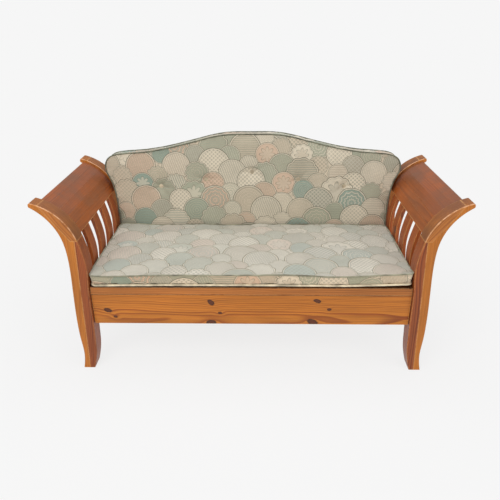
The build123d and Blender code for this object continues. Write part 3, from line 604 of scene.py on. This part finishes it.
def mesh_from(form, name, smooth=False):
    """The bmesh as a mesh, its faces turned outward."""
    bmesh.ops.recalc_face_normals(form, faces=form.faces[:])
    mesh = bpy.data.meshes.new(name)
    form.to_mesh(mesh)
    form.free()
    for face in mesh.polygons:
        face.use_smooth = smooth
    return mesh


def slab(name, low_ring, high_ring):
    """Closed block between two rings of as many points."""
    form = bmesh.new()
    low = [form.verts.new(point) for point in low_ring]
    high = [form.verts.new(point) for point in high_ring]
    form.faces.new(low)
    form.faces.new(reversed(high))
    for k in range(len(low)):
        form.faces.new((low[k - 1], high[k - 1], high[k], low[k]))
    return new_object(name, mesh_from(form, name))


def apply_modifiers(piece):
    """Freezes the piece's modifiers into its mesh."""
    graph = bpy.context.evaluated_depsgraph_get()
    mesh = bpy.data.meshes.new_from_object(piece.evaluated_get(graph), depsgraph=graph)
    piece.modifiers.clear()
    piece.data = mesh


def remesh(piece):
    modifier = piece.modifiers.new("Remesh", "REMESH")
    modifier.mode = "VOXEL"
    modifier.voxel_size = VOXEL
    apply_modifiers(piece)


def tree_of(points):
    """Search tree for the nearest of the points."""
    found = kdtree.KDTree(len(points))
    for k, point in enumerate(points):
        found.insert(point, k)
    found.balance()
    return found


def inflate(piece, seams, pinned, pressure, limit):
    """Cloth under pressure, held at the seams and at the pinned vertices."""
    near = tree_of(seams)
    held = [v.index for v in piece.data.vertices if near.find(v.co)[2] < SEAM_HOLD]
    group = piece.vertex_groups.new(name="held")
    group.add(sorted(set(held) | set(pinned)), 1.0, "REPLACE")
    before = [v.co.copy() for v in piece.data.vertices]
    cloth = piece.modifiers.new("Cloth", "CLOTH")
    settings = cloth.settings
    settings.quality = 4
    settings.mass = 0.3
    settings.tension_stiffness = 12
    settings.compression_stiffness = 12
    settings.shear_stiffness = 4
    settings.bending_stiffness = 0.6
    settings.use_pressure = True
    settings.uniform_pressure_force = pressure
    settings.effector_weights.gravity = 0
    settings.vertex_group_mass = "held"
    for number in range(1, CLOTH_FRAMES + 1):
        SCENE.frame_set(number)
    apply_modifiers(piece)
    SCENE.frame_set(1)
    for v, old in zip(piece.data.vertices, before):
        move = v.co - old
        if move.length > limit:
            v.co = old + move * (limit / move.length)
    piece.vertex_groups.clear()


def pucker(piece, seams, depth, reach):
    """Small gathers in the cloth along its seams, dying away from them."""
    near = tree_of(seams)
    moves = []
    for v in piece.data.vertices:
        _, index, distance = near.find(v.co)
        gather = noise.noise(Vector((index * 0.33, 0.5, 2.5)))
        gather += 0.5 * noise.noise(Vector((index * 0.8, 3, 1)))
        strength = exp(-distance / reach) * min(distance / (1.5 * PIPING_RADIUS), 1.0)
        moves.append(v.normal * (gather * strength * depth))
    for v, move in zip(piece.data.vertices, moves):
        v.co += move


def smooth_piece(piece):
    modifier = piece.modifiers.new("Subdivision", "SUBSURF")
    modifier.levels = 1
    modifier.render_levels = 1
    apply_modifiers(piece)
    for face in piece.data.polygons:
        face.use_smooth = True


def unwrap(piece, flatten, material_of):
    """UVs in metres, and a material, for every face: both follow which panel it belongs to."""
    layer = piece.data.uv_layers.new(name="UVMap")
    for face in piece.data.polygons:
        panel, face.material_index = material_of(face)
        for loop in face.loop_indices:
            point = piece.data.vertices[piece.data.loops[loop].vertex_index].co
            layer.data[loop].uv = flatten(panel, point)


def tube(name, points, radius, material):
    """Closed round cord through the points, of a slightly uneven thickness."""
    form = bmesh.new()
    count = len(points)
    rings = []
    for k in range(count):
        ahead = (points[(k + 1) % count] - points[k - 1]).normalized()
        aside = Vector((0.03, 0.02, 1.0) if abs(ahead.z) < 0.9 else (1, 0, 0))
        out = ahead.cross(aside).normalized()
        top = out.cross(ahead)
        fat = radius * (1 + 0.10 * noise.noise(points[k] * 60))
        rings.append([
            form.verts.new(points[k] + fat * (cos(turn) * out + sin(turn) * top))
            for turn in (2 * pi * n / CORD_SIDES for n in range(CORD_SIDES))
        ])
    for k in range(count):
        for n in range(CORD_SIDES):
            form.faces.new((rings[k - 1][n - 1], rings[k - 1][n], rings[k][n], rings[k][n - 1]))
    piece = new_object(name, mesh_from(form, name, smooth=True))
    piece.data.materials.append(material)
    return piece


def covered(cushion, node, body):
    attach(cushion, body)
    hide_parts(node)


def add_piping(name, seam, radius, material, body):
    cord = tube(name, seam, radius, material)
    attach(cord, body)


# ---------------------------------------------------------------- materials in use

# The seat's top panel takes a paler, greyer copy: part sun fading, part painted cool sky light
COTTON = printed_cotton("printed_cotton", fade_and_skylight=0.06)
COTTON_FADED_AND_SKYLIT = printed_cotton("printed_cotton_faded_and_skylit", fade_and_skylight=0.55)
COTTON_WARM = printed_cotton("printed_cotton_warm", fade_and_skylight=0.03, warmth=1.08)
PIPING_SAGE = piping_cloth("piping_sage", (0.25, 0.24, 0.17))
PIPING_GREEN = piping_cloth("piping_grey_green", (0.145, 0.145, 0.10))
PIPING_CREAM = piping_cloth("piping_cream", (0.62, 0.53, 0.38))
BUTTON_CLOTH = piping_cloth("button_cotton", (0.50, 0.42, 0.30))

# ---------------------------------------------------------------- seat cushion

SEAT_LOW, SEAT_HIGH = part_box("seat_cushion")
SEAT_CORNER = 24 * MM
SEAT_INSET = 2 * MM
BOX_FOOT = SEAT_LOW.z + CREAM_PIPING_RADIUS + 6 * MM
BOX_HEAD = BOX_FOOT + 50 * MM
SEAT_FRONT = 100 * MM  # depth of the part that is slack
SEAT_PRESSURE = 2.2
SEAT_SWELL = 15 * MM  # at most
CORNER_STEPS = 6
PANEL_SLOPE = 0.6  # a face that faces a way by more than this belongs to its panel
PANEL_EDGE = 12 * MM


def seat_warp(point):
    """Slack in a boxed cushion that has seen wear: its seams wave, and the right front corner
    lifts.
    """
    x, y, _ = point
    front = 1 - min(max((y - SEAT_LOW.y) / SEAT_FRONT, 0.0), 1.0)
    lifted = exp(-(((x - SEAT_HIGH.x) / 0.16) ** 2)) * front * 12 * MM
    high = min(max((point.z - BOX_FOOT) / (BOX_HEAD - BOX_FOOT), 0.0), 1.0)
    wave = noise.noise(Vector((x * 5.2, y * 4.0, 3.1 * high))) * 7 * MM * high
    ripple = noise.noise(Vector((x * 17, y * 15, 8.0 + high))) * 2.2 * MM * high
    push = noise.noise(Vector((x * 7.0, 5.0 + high, y * 3))) * 2.5 * MM
    drawn_in = 7 * MM * (1 - (x / SEAT_HIGH.x) ** 2) - 6 * MM * high
    spread = 0.008 * x * high
    return point + Vector((spread, (push + drawn_in) * front, lifted + wave + ripple))


def seat_ring(height):
    """Rounded rectangle of the seat cushion at a height."""
    inset = SEAT_INSET + SEAT_CORNER
    left, right = SEAT_LOW.x + inset, SEAT_HIGH.x - inset
    front, rear = SEAT_LOW.y + inset, SEAT_HIGH.y - inset
    points = []
    for quarter, (x, y) in enumerate(((right, rear), (left, rear), (left, front), (right, front))):
        for n in range(CORNER_STEPS + 1):
            turn = (quarter + n / CORNER_STEPS) * pi / 2
            points.append(Vector((x, y, height)) + SEAT_CORNER * Vector((cos(turn), sin(turn), 0)))
    return resample(points, SEAM_STEP)


def seat_panel(face):
    """Panel of the seat cushion's cover that a face is in, and its material's number."""
    if face.normal.z > PANEL_SLOPE and face.center.z > BOX_HEAD - PANEL_EDGE:
        # The top panel gets the paler, greyer copy with its painted sky light
        return "top", 1
    if face.normal.z < -PANEL_SLOPE and face.center.z < BOX_FOOT + PANEL_EDGE:
        return "bottom", 0
    if abs(face.normal.y) > abs(face.normal.x):
        return "front", 2
    return "side", 2


def flat_on_seat(panel, point):
    """Where on the printed cloth a point of the cover is. Each panel is cut from its own place."""
    x, y, z = point
    if panel == "top":
        return (x + 0.05, y + 0.37)
    if panel == "bottom":
        return (x + 0.3, y + 0.2)
    if panel == "front":
        return (x + 0.11, z + 0.02)
    return (y + 0.2, z + 0.02)


def build_seat_cushion():
    low_seam = seat_ring(BOX_FOOT)
    high_seam = seat_ring(BOX_HEAD)
    cushion = slab("seat_cushion_cover", low_seam, high_seam)
    remesh(cushion)
    for v in cushion.data.vertices:
        v.co = seat_warp(v.co)
    low_seam = [seat_warp(point) for point in low_seam]
    high_seam = [seat_warp(point) for point in high_seam]
    inflate(cushion, low_seam + high_seam, (), SEAT_PRESSURE, SEAT_SWELL)
    pucker(cushion, low_seam + high_seam, 4.5 * MM, 28 * MM)
    for v in cushion.data.vertices:
        x, y, z = v.co
        if z > BOX_HEAD - 5 * MM:
            lump = noise.noise(Vector((x * 5.5, y * 6.5, 4.0))) * 4 * MM
            v.co.z += lump + noise.noise(Vector((x * 13, y * 16, 9.0))) * 2 * MM
        v.co.z = max(v.co.z, SEAT_LOW.z + 0.4 * MM)
    smooth_piece(cushion)
    for material in (COTTON, COTTON_FADED_AND_SKYLIT, COTTON_WARM):
        cushion.data.materials.append(material)
    unwrap(cushion, flat_on_seat, seat_panel)

    body = "seat_cushion_body"
    covered(cushion, "seat_cushion", body)
    add_piping("seat_cushion_top_piping", high_seam, PIPING_RADIUS, PIPING_SAGE, body)
    add_piping("seat_cushion_bottom_piping", low_seam, CREAM_PIPING_RADIUS, PIPING_CREAM, body)


# ---------------------------------------------------------------- back cushion

BACK_OUT = Vector((0, -cos(LEAN), sin(LEAN)))  # straight out of the leaning back
BACK_UP = Vector((0, sin(LEAN), cos(LEAN)))
SEAT_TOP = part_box("apron_cap")[1].z
BACK_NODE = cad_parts["back_cushion"].data
BACK_DEPTHS = [v.co.dot(BACK_OUT) for v in BACK_NODE.vertices]
BACK_FACE = max(BACK_DEPTHS)
BACK_REAR = min(BACK_DEPTHS)
BACK_INSET = 9 * MM
REAR_INSET = 1.5 * MM
FRONT_HALF = BACK_FACE - 3 * BACK_INSET  # the cover's front lies beyond this depth
BACK_PRESSURE = 2.6
BACK_SWELL = 20 * MM  # at most
HUMP_HALF = 0.55
HUMP_FOOT = 0.30
EASE_REACH = 6  # points to either side
EASE_TIMES = 3
# Buttons: across, and up the back
BUTTONS = ((-0.480, 0.277), (-0.240, 0.314), (0.0, 0.355), (0.240, 0.314), (0.480, 0.277))
BUTTON_RADIUS = 13.5 * MM
BUTTON_RISE = 5.5 * MM
BUTTON_RINGS = 7
BUTTON_SPOKES = 24
DIMPLE = 27 * MM
DIMPLE_SHARE = 0.7  # of its depth, that is there before the cloth swells
DIMPLE_REACH = 27 * MM
PLEATS = 7  # creases that run out from a button
PLEAT_HEIGHT = 7 * MM
PLEAT_REACH = 55 * MM


def on_back(x, lift, depth):
    """Point at a lift up the leaning back, depth being measured along BACK_OUT."""
    foot = Vector((0, 0, SEAT_TOP))
    return Vector((x, 0, 0)) + BACK_UP * (lift + foot.dot(BACK_UP)) + BACK_OUT * depth


def lift_of(point):
    return point.dot(BACK_UP) - SEAT_TOP * BACK_UP.z


def back_outline():
    """The camel back's outline, from the edge of the CAD cushion's front face."""
    edge = [v.co for v in BACK_NODE.vertices if v.co.dot(BACK_OUT) > BACK_FACE - 0.05 * MM]
    flat = [(point.x, lift_of(point)) for point in edge]
    centre = (0.0, 0.25)
    flat.sort(key=lambda spot: atan2(spot[1] - centre[1], spot[0] - centre[0]))
    return ease_hump(resample([Vector((x, lift, 0)) for x, lift in flat], SEAM_STEP))


def ease_hump(outline):
    """Round the top edge a little more, as its stuffing does; the ears stay as they are."""
    count = len(outline)
    near = range(-EASE_REACH, EASE_REACH + 1)
    for _ in range(EASE_TIMES):
        lifts = [sum(outline[(k + n) % count].y for n in near) / len(near) for k in range(count)]
        for point, lift in zip(outline, lifts):
            if abs(point.x) < HUMP_HALF and point.y > HUMP_FOOT:
                point.y = lift
    return outline


def shrink(outline, inset):
    """The outline, moved inward."""
    count = len(outline)
    out = []
    for k in range(count):
        ahead = (outline[(k + 2) % count] - outline[k - 2]).normalized()
        inward = Vector((-ahead.y, ahead.x, 0))
        out.append(outline[k] + inward * inset)
    return out


def back_warp(point):
    """Slack seams of the back cushion."""
    wave = noise.noise(point * 5.5) * 4 * MM
    ripple = noise.noise(point * 16 + Vector((3, 1, 7))) * 1.4 * MM
    low = min(max(lift_of(point) / 0.05, 0.0), 1.0)
    return point + BACK_OUT * (wave + ripple) * low


def from_button(point, button):
    """Offset of a point from a button, across and up the back, and its distance."""
    x, lift = button
    across, up = point.x - x, lift_of(point) - lift
    return across, up, (across * across + up * up) ** 0.5


def dimpled(cushion):
    """Press in the front at the buttons; gives the vertices that the buttons hold."""
    pinned = []
    for v in cushion.data.vertices:
        if v.co.dot(BACK_OUT) > FRONT_HALF:
            for button in BUTTONS:
                reach = from_button(v.co, button)[2]
                v.co -= BACK_OUT * DIMPLE * DIMPLE_SHARE * exp(-((reach / DIMPLE_REACH) ** 2))
                if reach < BUTTON_RADIUS * 0.8:
                    pinned.append(v.index)
        v.co = back_warp(v.co)
    return pinned


def pleat(cushion):
    """Creases that run out from the buttons."""
    for v in cushion.data.vertices:
        if v.co.dot(BACK_OUT) > FRONT_HALF:
            for button in BUTTONS:
                across, up, reach = from_button(v.co, button)
                fold = abs(cos(PLEATS / 2 * atan2(up, across) + 9 * button[0])) - 0.6
                near = exp(-((reach / PLEAT_REACH) ** 2)) * min(reach / BUTTON_RADIUS, 1.0)
                v.co += BACK_OUT * fold * near * PLEAT_HEIGHT


def back_panel(face):
    """Panel of the back cushion's cover that a face is in, and its material's number."""
    facing = face.normal.dot(BACK_OUT)
    if facing > PANEL_SLOPE:
        return "front", 0
    if facing < -PANEL_SLOPE:
        return "rear", 0
    if abs(face.normal.x) > 0.7:
        return "end", 0
    return "edge", 0


def flat_on_back(panel, point):
    """Where on the printed cloth a point of the back cushion's cover is."""
    if panel in ("front", "rear"):
        return (point.x + 0.02, lift_of(point))
    if panel == "end":
        return (point.dot(BACK_OUT) + 0.4, lift_of(point))
    return (point.x + 0.2, point.dot(BACK_OUT) + 0.7)


def build_back_cushion():
    outline = shrink(back_outline(), PIPING_RADIUS)
    rear_depth = BACK_REAR + REAR_INSET + PIPING_RADIUS
    front_seam = [on_back(p.x, p.y, BACK_FACE - BACK_INSET) for p in outline]
    rear_seam = [on_back(p.x, p.y, rear_depth) for p in outline]
    cushion = slab("back_cushion_cover", rear_seam, front_seam)
    remesh(cushion)
    pinned = dimpled(cushion)
    front_seam = [back_warp(point) for point in front_seam]
    rear_seam = [back_warp(point) for point in rear_seam]
    inflate(cushion, front_seam + rear_seam, pinned, BACK_PRESSURE, BACK_SWELL)
    pucker(cushion, front_seam + rear_seam, 5 * MM, 30 * MM)
    pleat(cushion)
    smooth_piece(cushion)
    cushion.data.materials.append(COTTON)
    unwrap(cushion, flat_on_back, back_panel)

    body = "back_cushion_body"
    covered(cushion, "back_cushion", body)
    add_piping("back_cushion_front_piping", front_seam, PIPING_RADIUS, PIPING_GREEN, body)
    add_piping("back_cushion_rear_piping", rear_seam, PIPING_RADIUS, PIPING_GREEN, body)
    return cushion


def button_mesh(name, seat):
    """Dome with its cloth gathered round the rim."""
    form = bmesh.new()
    last = None
    for ring in range(BUTTON_RINGS + 1):
        turn = pi / 2 * ring / BUTTON_RINGS
        out = BUTTON_RADIUS * sin(turn)
        row = []
        for n in range(BUTTON_SPOKES):
            angle = 2 * pi * n / BUTTON_SPOKES
            reach = out * (1 + 0.03 * cos(angle * 12) * (ring / BUTTON_RINGS))
            offset = Vector((reach * cos(angle), 0, 0)) + BACK_UP * (reach * sin(angle))
            row.append(form.verts.new(seat + offset + BACK_OUT * (BUTTON_RISE * cos(turn))))
        if last:
            for n in range(BUTTON_SPOKES):
                form.faces.new((last[n - 1], last[n], row[n], row[n - 1]))
        last = row
    form.faces.new(last)
    bmesh.ops.remove_doubles(form, verts=form.verts[:], dist=0.01 * MM)
    return mesh_from(form, name, smooth=True)


def build_buttons(cushion):
    """Covered buttons, seated in their dimples."""
    near = tree_of([v.co for v in cushion.data.vertices])
    for number, (x, lift) in enumerate(BUTTONS, start=1):
        seat = near.find(on_back(x, lift, BACK_FACE - BACK_INSET - DIMPLE * DIMPLE_SHARE))[0]
        button = new_object(f"covered_button_{number}", button_mesh(f"button_{number}", seat))
        button.data.materials.append(BUTTON_CLOTH)
        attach(button, "back_cushion_body")
        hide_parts("back_cushion_buttons")


build_seat_cushion()
build_buttons(build_back_cushion())

# ---------------------------------------------------------------- wood finishes by piece


def middle_of(node):
    low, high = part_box(node)
    return (low + high) / 2


def paint(node, material):
    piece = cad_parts[node]
    piece.data.materials.clear()
    piece.data.materials.append(material)


def seeded(node):
    """A steady random shift for a board's pith, from its name."""
    total = sum(ord(letter) * (k + 1) for k, letter in enumerate(node))
    shift = [noise.noise(Vector((total * 0.37, 1.5, seed))) for seed in (2.5, 7.5, 12.5)]
    return PITH_SPREAD * Vector(shift)


PITH_SPREAD = 50 * MM
APRON_FACE_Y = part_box("apron_board")[0].y
APRON_KNOTS = (
    ((-0.634, APRON_FACE_Y, 0.297), 0.020, 0.011, 0.35),
    ((-0.603, APRON_FACE_Y, 0.264), 0.009, 0.006, 0.2),
    ((-0.174, APRON_FACE_Y, 0.339), 0.019, 0.012, 0.8),
    ((-0.135, APRON_FACE_Y, 0.286), 0.010, 0.006, 0.1),
    ((-0.175, APRON_FACE_Y, 0.236), 0.024, 0.013, 0.0),
    ((0.294, APRON_FACE_Y, 0.349), 0.018, 0.010, 0.3),
    ((0.347, APRON_FACE_Y, 0.306), 0.010, 0.007, 0.0),
    ((0.274, APRON_FACE_Y, 0.242), 0.026, 0.014, 0.3),
)

SLAT_KNOTS = (((0.716, 0.048, 0.515), 0.020, 0.012, 0.3),)

LENGTHWISE = (1, 0, 0)  # along the bench
DEPTHWISE = (0, 1, 0)
PLAIN_RAILS = ("crest_rail", "lower_back_rail", "rear_seat_rail")
SLIGHTLY_UP = 0.25  # a lip is fully browned, with its painted sky sheen, where it faces up by more than this
STEEPLY_UP = 0.9


def plank(node, grain, pith_from_middle, tones=PINE, **rest):
    """Pine for a board whose pith lies near a place, given from the board's middle."""
    pith = middle_of(node) + seeded(node) + Vector(pith_from_middle)
    return pine(node, grain, pith, tones, **rest)


def finish_of(node):
    """The material of a CAD node, from its name."""
    low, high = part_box(node)
    # Lip pieces: up-facing faces browned with a painted sky sheen, and a painted highlight line on
    # the lip's top front edge
    lip = {"handled": SLIGHTLY_UP, "lip_y": low.y}
    if node == "apron_board":
        pith = Vector((0, APRON_FACE_Y + 0.085, 0.250))
        # The board's top takes a painted shadow under the cap's overhang
        return pine(
            node, LENGTHWISE, pith, ring=6.5 * MM, knots=APRON_KNOTS, joint_height=high.z
        )
    if node == "apron_cap":
        # The cap's top takes a painted shadow under the seat cushion
        return plank(node, LENGTHWISE, (0, 0.05, -0.12), PINE_CAP, joint_height=SEAT_TOP)
    if node in PLAIN_RAILS:
        return plank(node, LENGTHWISE, (0, 0.05, -0.12), PINE_CAP)
    if "inner_board" in node:
        return plank(node, UP, (0.06, 0.05, 0), PINE_RED)
    if "outer_board" in node:
        return plank(node, UP, (0.10, 0.08, 0), PINE_POST, **lip)
    if "scroll_block" in node:
        grain = (0.62 if "right" in node else -0.62, 0, 0.78)
        return plank(node, grain, (0.05, 0.06, 0.02), PINE_SCROLL, **lip)
    if "arm_staves" in node:
        # Arm panels: up-facing staves browned with a painted sky sheen
        return plank(
            node, DEPTHWISE, (0.03, 0, -0.09), PINE_ARM,
            ring=7 * MM, gloss=0.40, staves=True, handled=STEEPLY_UP,
        )
    if "side_slat" in node:
        knots = SLAT_KNOTS if node == "side_slat_3_right" else ()
        return plank(node, UP, (0.05, 0.06, 0), PINE_SLAT, knots=knots)
    if "side_rail" in node:
        return plank(node, DEPTHWISE, (0.06, 0, 0.09))
    if "back_slats" in node:
        return plank(node, UP, (0.3, 0.07, 0), PINE_RAW)
    if "seat_slat" in node:
        return plank(node, DEPTHWISE, (0.02, 0, -0.07), PINE_RAW)
    if "bolt" in node:
        return metal(node, ZINC, 0.32)
    if "nut" in node or "screw" in node:
        return metal(node, PLATED, 0.38, UP)
    return plank(node, LENGTHWISE, (0, 0.04, -0.05), PINE_RAW)


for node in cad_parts:
    if node not in ("seat_cushion", "back_cushion", "back_cushion_buttons"):
        paint(node, finish_of(node))

# ---------------------------------------------------------------- floor, light, camera


PAPER = (FLOOR_TONE, FLOOR_TONE, FLOOR_TONE, 1)
FLOOR_PLAIN = 0.86  # share of plain tone under the bench; the rest takes the shadow
FLOOR_FADE = (0.5, 2.4)  # distances between which the floor becomes all plain
FLOOR_RADIUS = 30.0
AIM = (0, 0, 0.4)  # of the lamps


def backdrop_material():
    """Pale studio floor: plain to the camera and in reflections, with a soft shadow."""
    tree = Tree("studio_floor")
    path = tree.nodes.new("ShaderNodeLightPath")
    seen = tree.math("MAXIMUM", path.outputs["Is Camera Ray"], path.outputs["Is Glossy Ray"])
    plain = tree.nodes.new("ShaderNodeEmission")
    plain.inputs["Color"].default_value = PAPER
    plain.inputs["Strength"].default_value = 1.0
    blend = tree.nodes.new("ShaderNodeMixShader")
    place = tree.coordinates("Object")
    reach = tree.length(tree.dot(place, (1, 0, 0)), tree.dot(place, (0, 1, 0)))
    away = tree.smooth(reach, *FLOOR_FADE)
    share = tree.add(FLOOR_PLAIN, tree.mul(away, 1 - FLOOR_PLAIN))
    tree.set(blend.inputs[0], tree.mul(seen, share))
    tree.links.new(tree.shader.outputs[0], blend.inputs[1])
    tree.links.new(plain.outputs[0], blend.inputs[2])
    tree.links.new(blend.outputs[0], tree.output.inputs["Surface"])
    tree.shader.inputs["Base Color"].default_value = (0.88, 0.88, 0.88, 1)
    tree.shader.inputs["Roughness"].default_value = 1.0
    return tree.material


def build_stage():
    form = bmesh.new()
    bmesh.ops.create_circle(form, cap_ends=True, segments=64, radius=FLOOR_RADIUS)
    mesh = bpy.data.meshes.new("studio_floor")
    form.to_mesh(mesh)
    form.free()
    floor = new_object("studio_floor", mesh)
    floor.data.materials.append(backdrop_material())

    world = bpy.data.worlds.new("studio")
    SCENE.world = world
    world.use_nodes = True
    nodes = world.node_tree.nodes
    links = world.node_tree.links
    path = nodes.new("ShaderNodeLightPath")
    blend = nodes.new("ShaderNodeMixShader")
    shown = nodes.new("ShaderNodeBackground")
    shown.inputs["Color"].default_value = PAPER
    ambient = nodes["Background"]
    ambient.inputs["Color"].default_value = (0.94, 0.97, 1.0, 1)
    ambient.inputs["Strength"].default_value = 0.50
    links.new(path.outputs["Is Camera Ray"], blend.inputs[0])
    links.new(ambient.outputs[0], blend.inputs[1])
    links.new(shown.outputs[0], blend.inputs[2])
    links.new(blend.outputs[0], nodes["World Output"].inputs["Surface"])


def add_lamp(name, place, size, power, colour):
    data = bpy.data.lights.new(name, "AREA")
    data.shape = "RECTANGLE"
    data.size, data.size_y = size
    data.energy = power
    data.color = colour
    lamp = bpy.data.objects.new(name, data)
    COLLECTION.objects.link(lamp)
    lamp.location = place
    lamp.rotation_euler = (Vector(AIM) - Vector(place)).to_track_quat("-Z", "Y").to_euler()


def build_camera():
    forward = Vector((
        -sin(CAMERA_YAW) * cos(CAMERA_PITCH),
        cos(CAMERA_YAW) * cos(CAMERA_PITCH),
        -sin(CAMERA_PITCH),
    ))
    level = Vector((cos(CAMERA_YAW), sin(CAMERA_YAW), 0))
    upright = level.cross(forward)
    right = level * cos(CAMERA_ROLL) + upright * sin(CAMERA_ROLL)
    up = upright * cos(CAMERA_ROLL) - level * sin(CAMERA_ROLL)
    data = bpy.data.cameras.new("camera")
    data.sensor_width = 36.0
    data.lens = CAMERA_LENS
    data.shift_y = CAMERA_SHIFT
    camera = bpy.data.objects.new("camera", data)
    COLLECTION.objects.link(camera)
    turn = Matrix((right, up, -forward)).transposed().to_4x4()
    camera.matrix_world = Matrix.Translation(CAMERA_AT) @ turn
    SCENE.camera = camera


build_stage()
add_lamp("key", (-1.6, -2.6, 3.0), (2.2, 1.6), 66, (1.0, 0.97, 0.92))
add_lamp("fill", (2.4, -2.0, 2.2), (2.0, 2.0), 26, (1.0, 0.96, 0.90))
add_lamp("top", (0.0, 0.3, 3.2), (3.0, 2.0), 30, (0.94, 0.97, 1.0))
build_camera()
SCENE.view_settings.view_transform = "Standard"
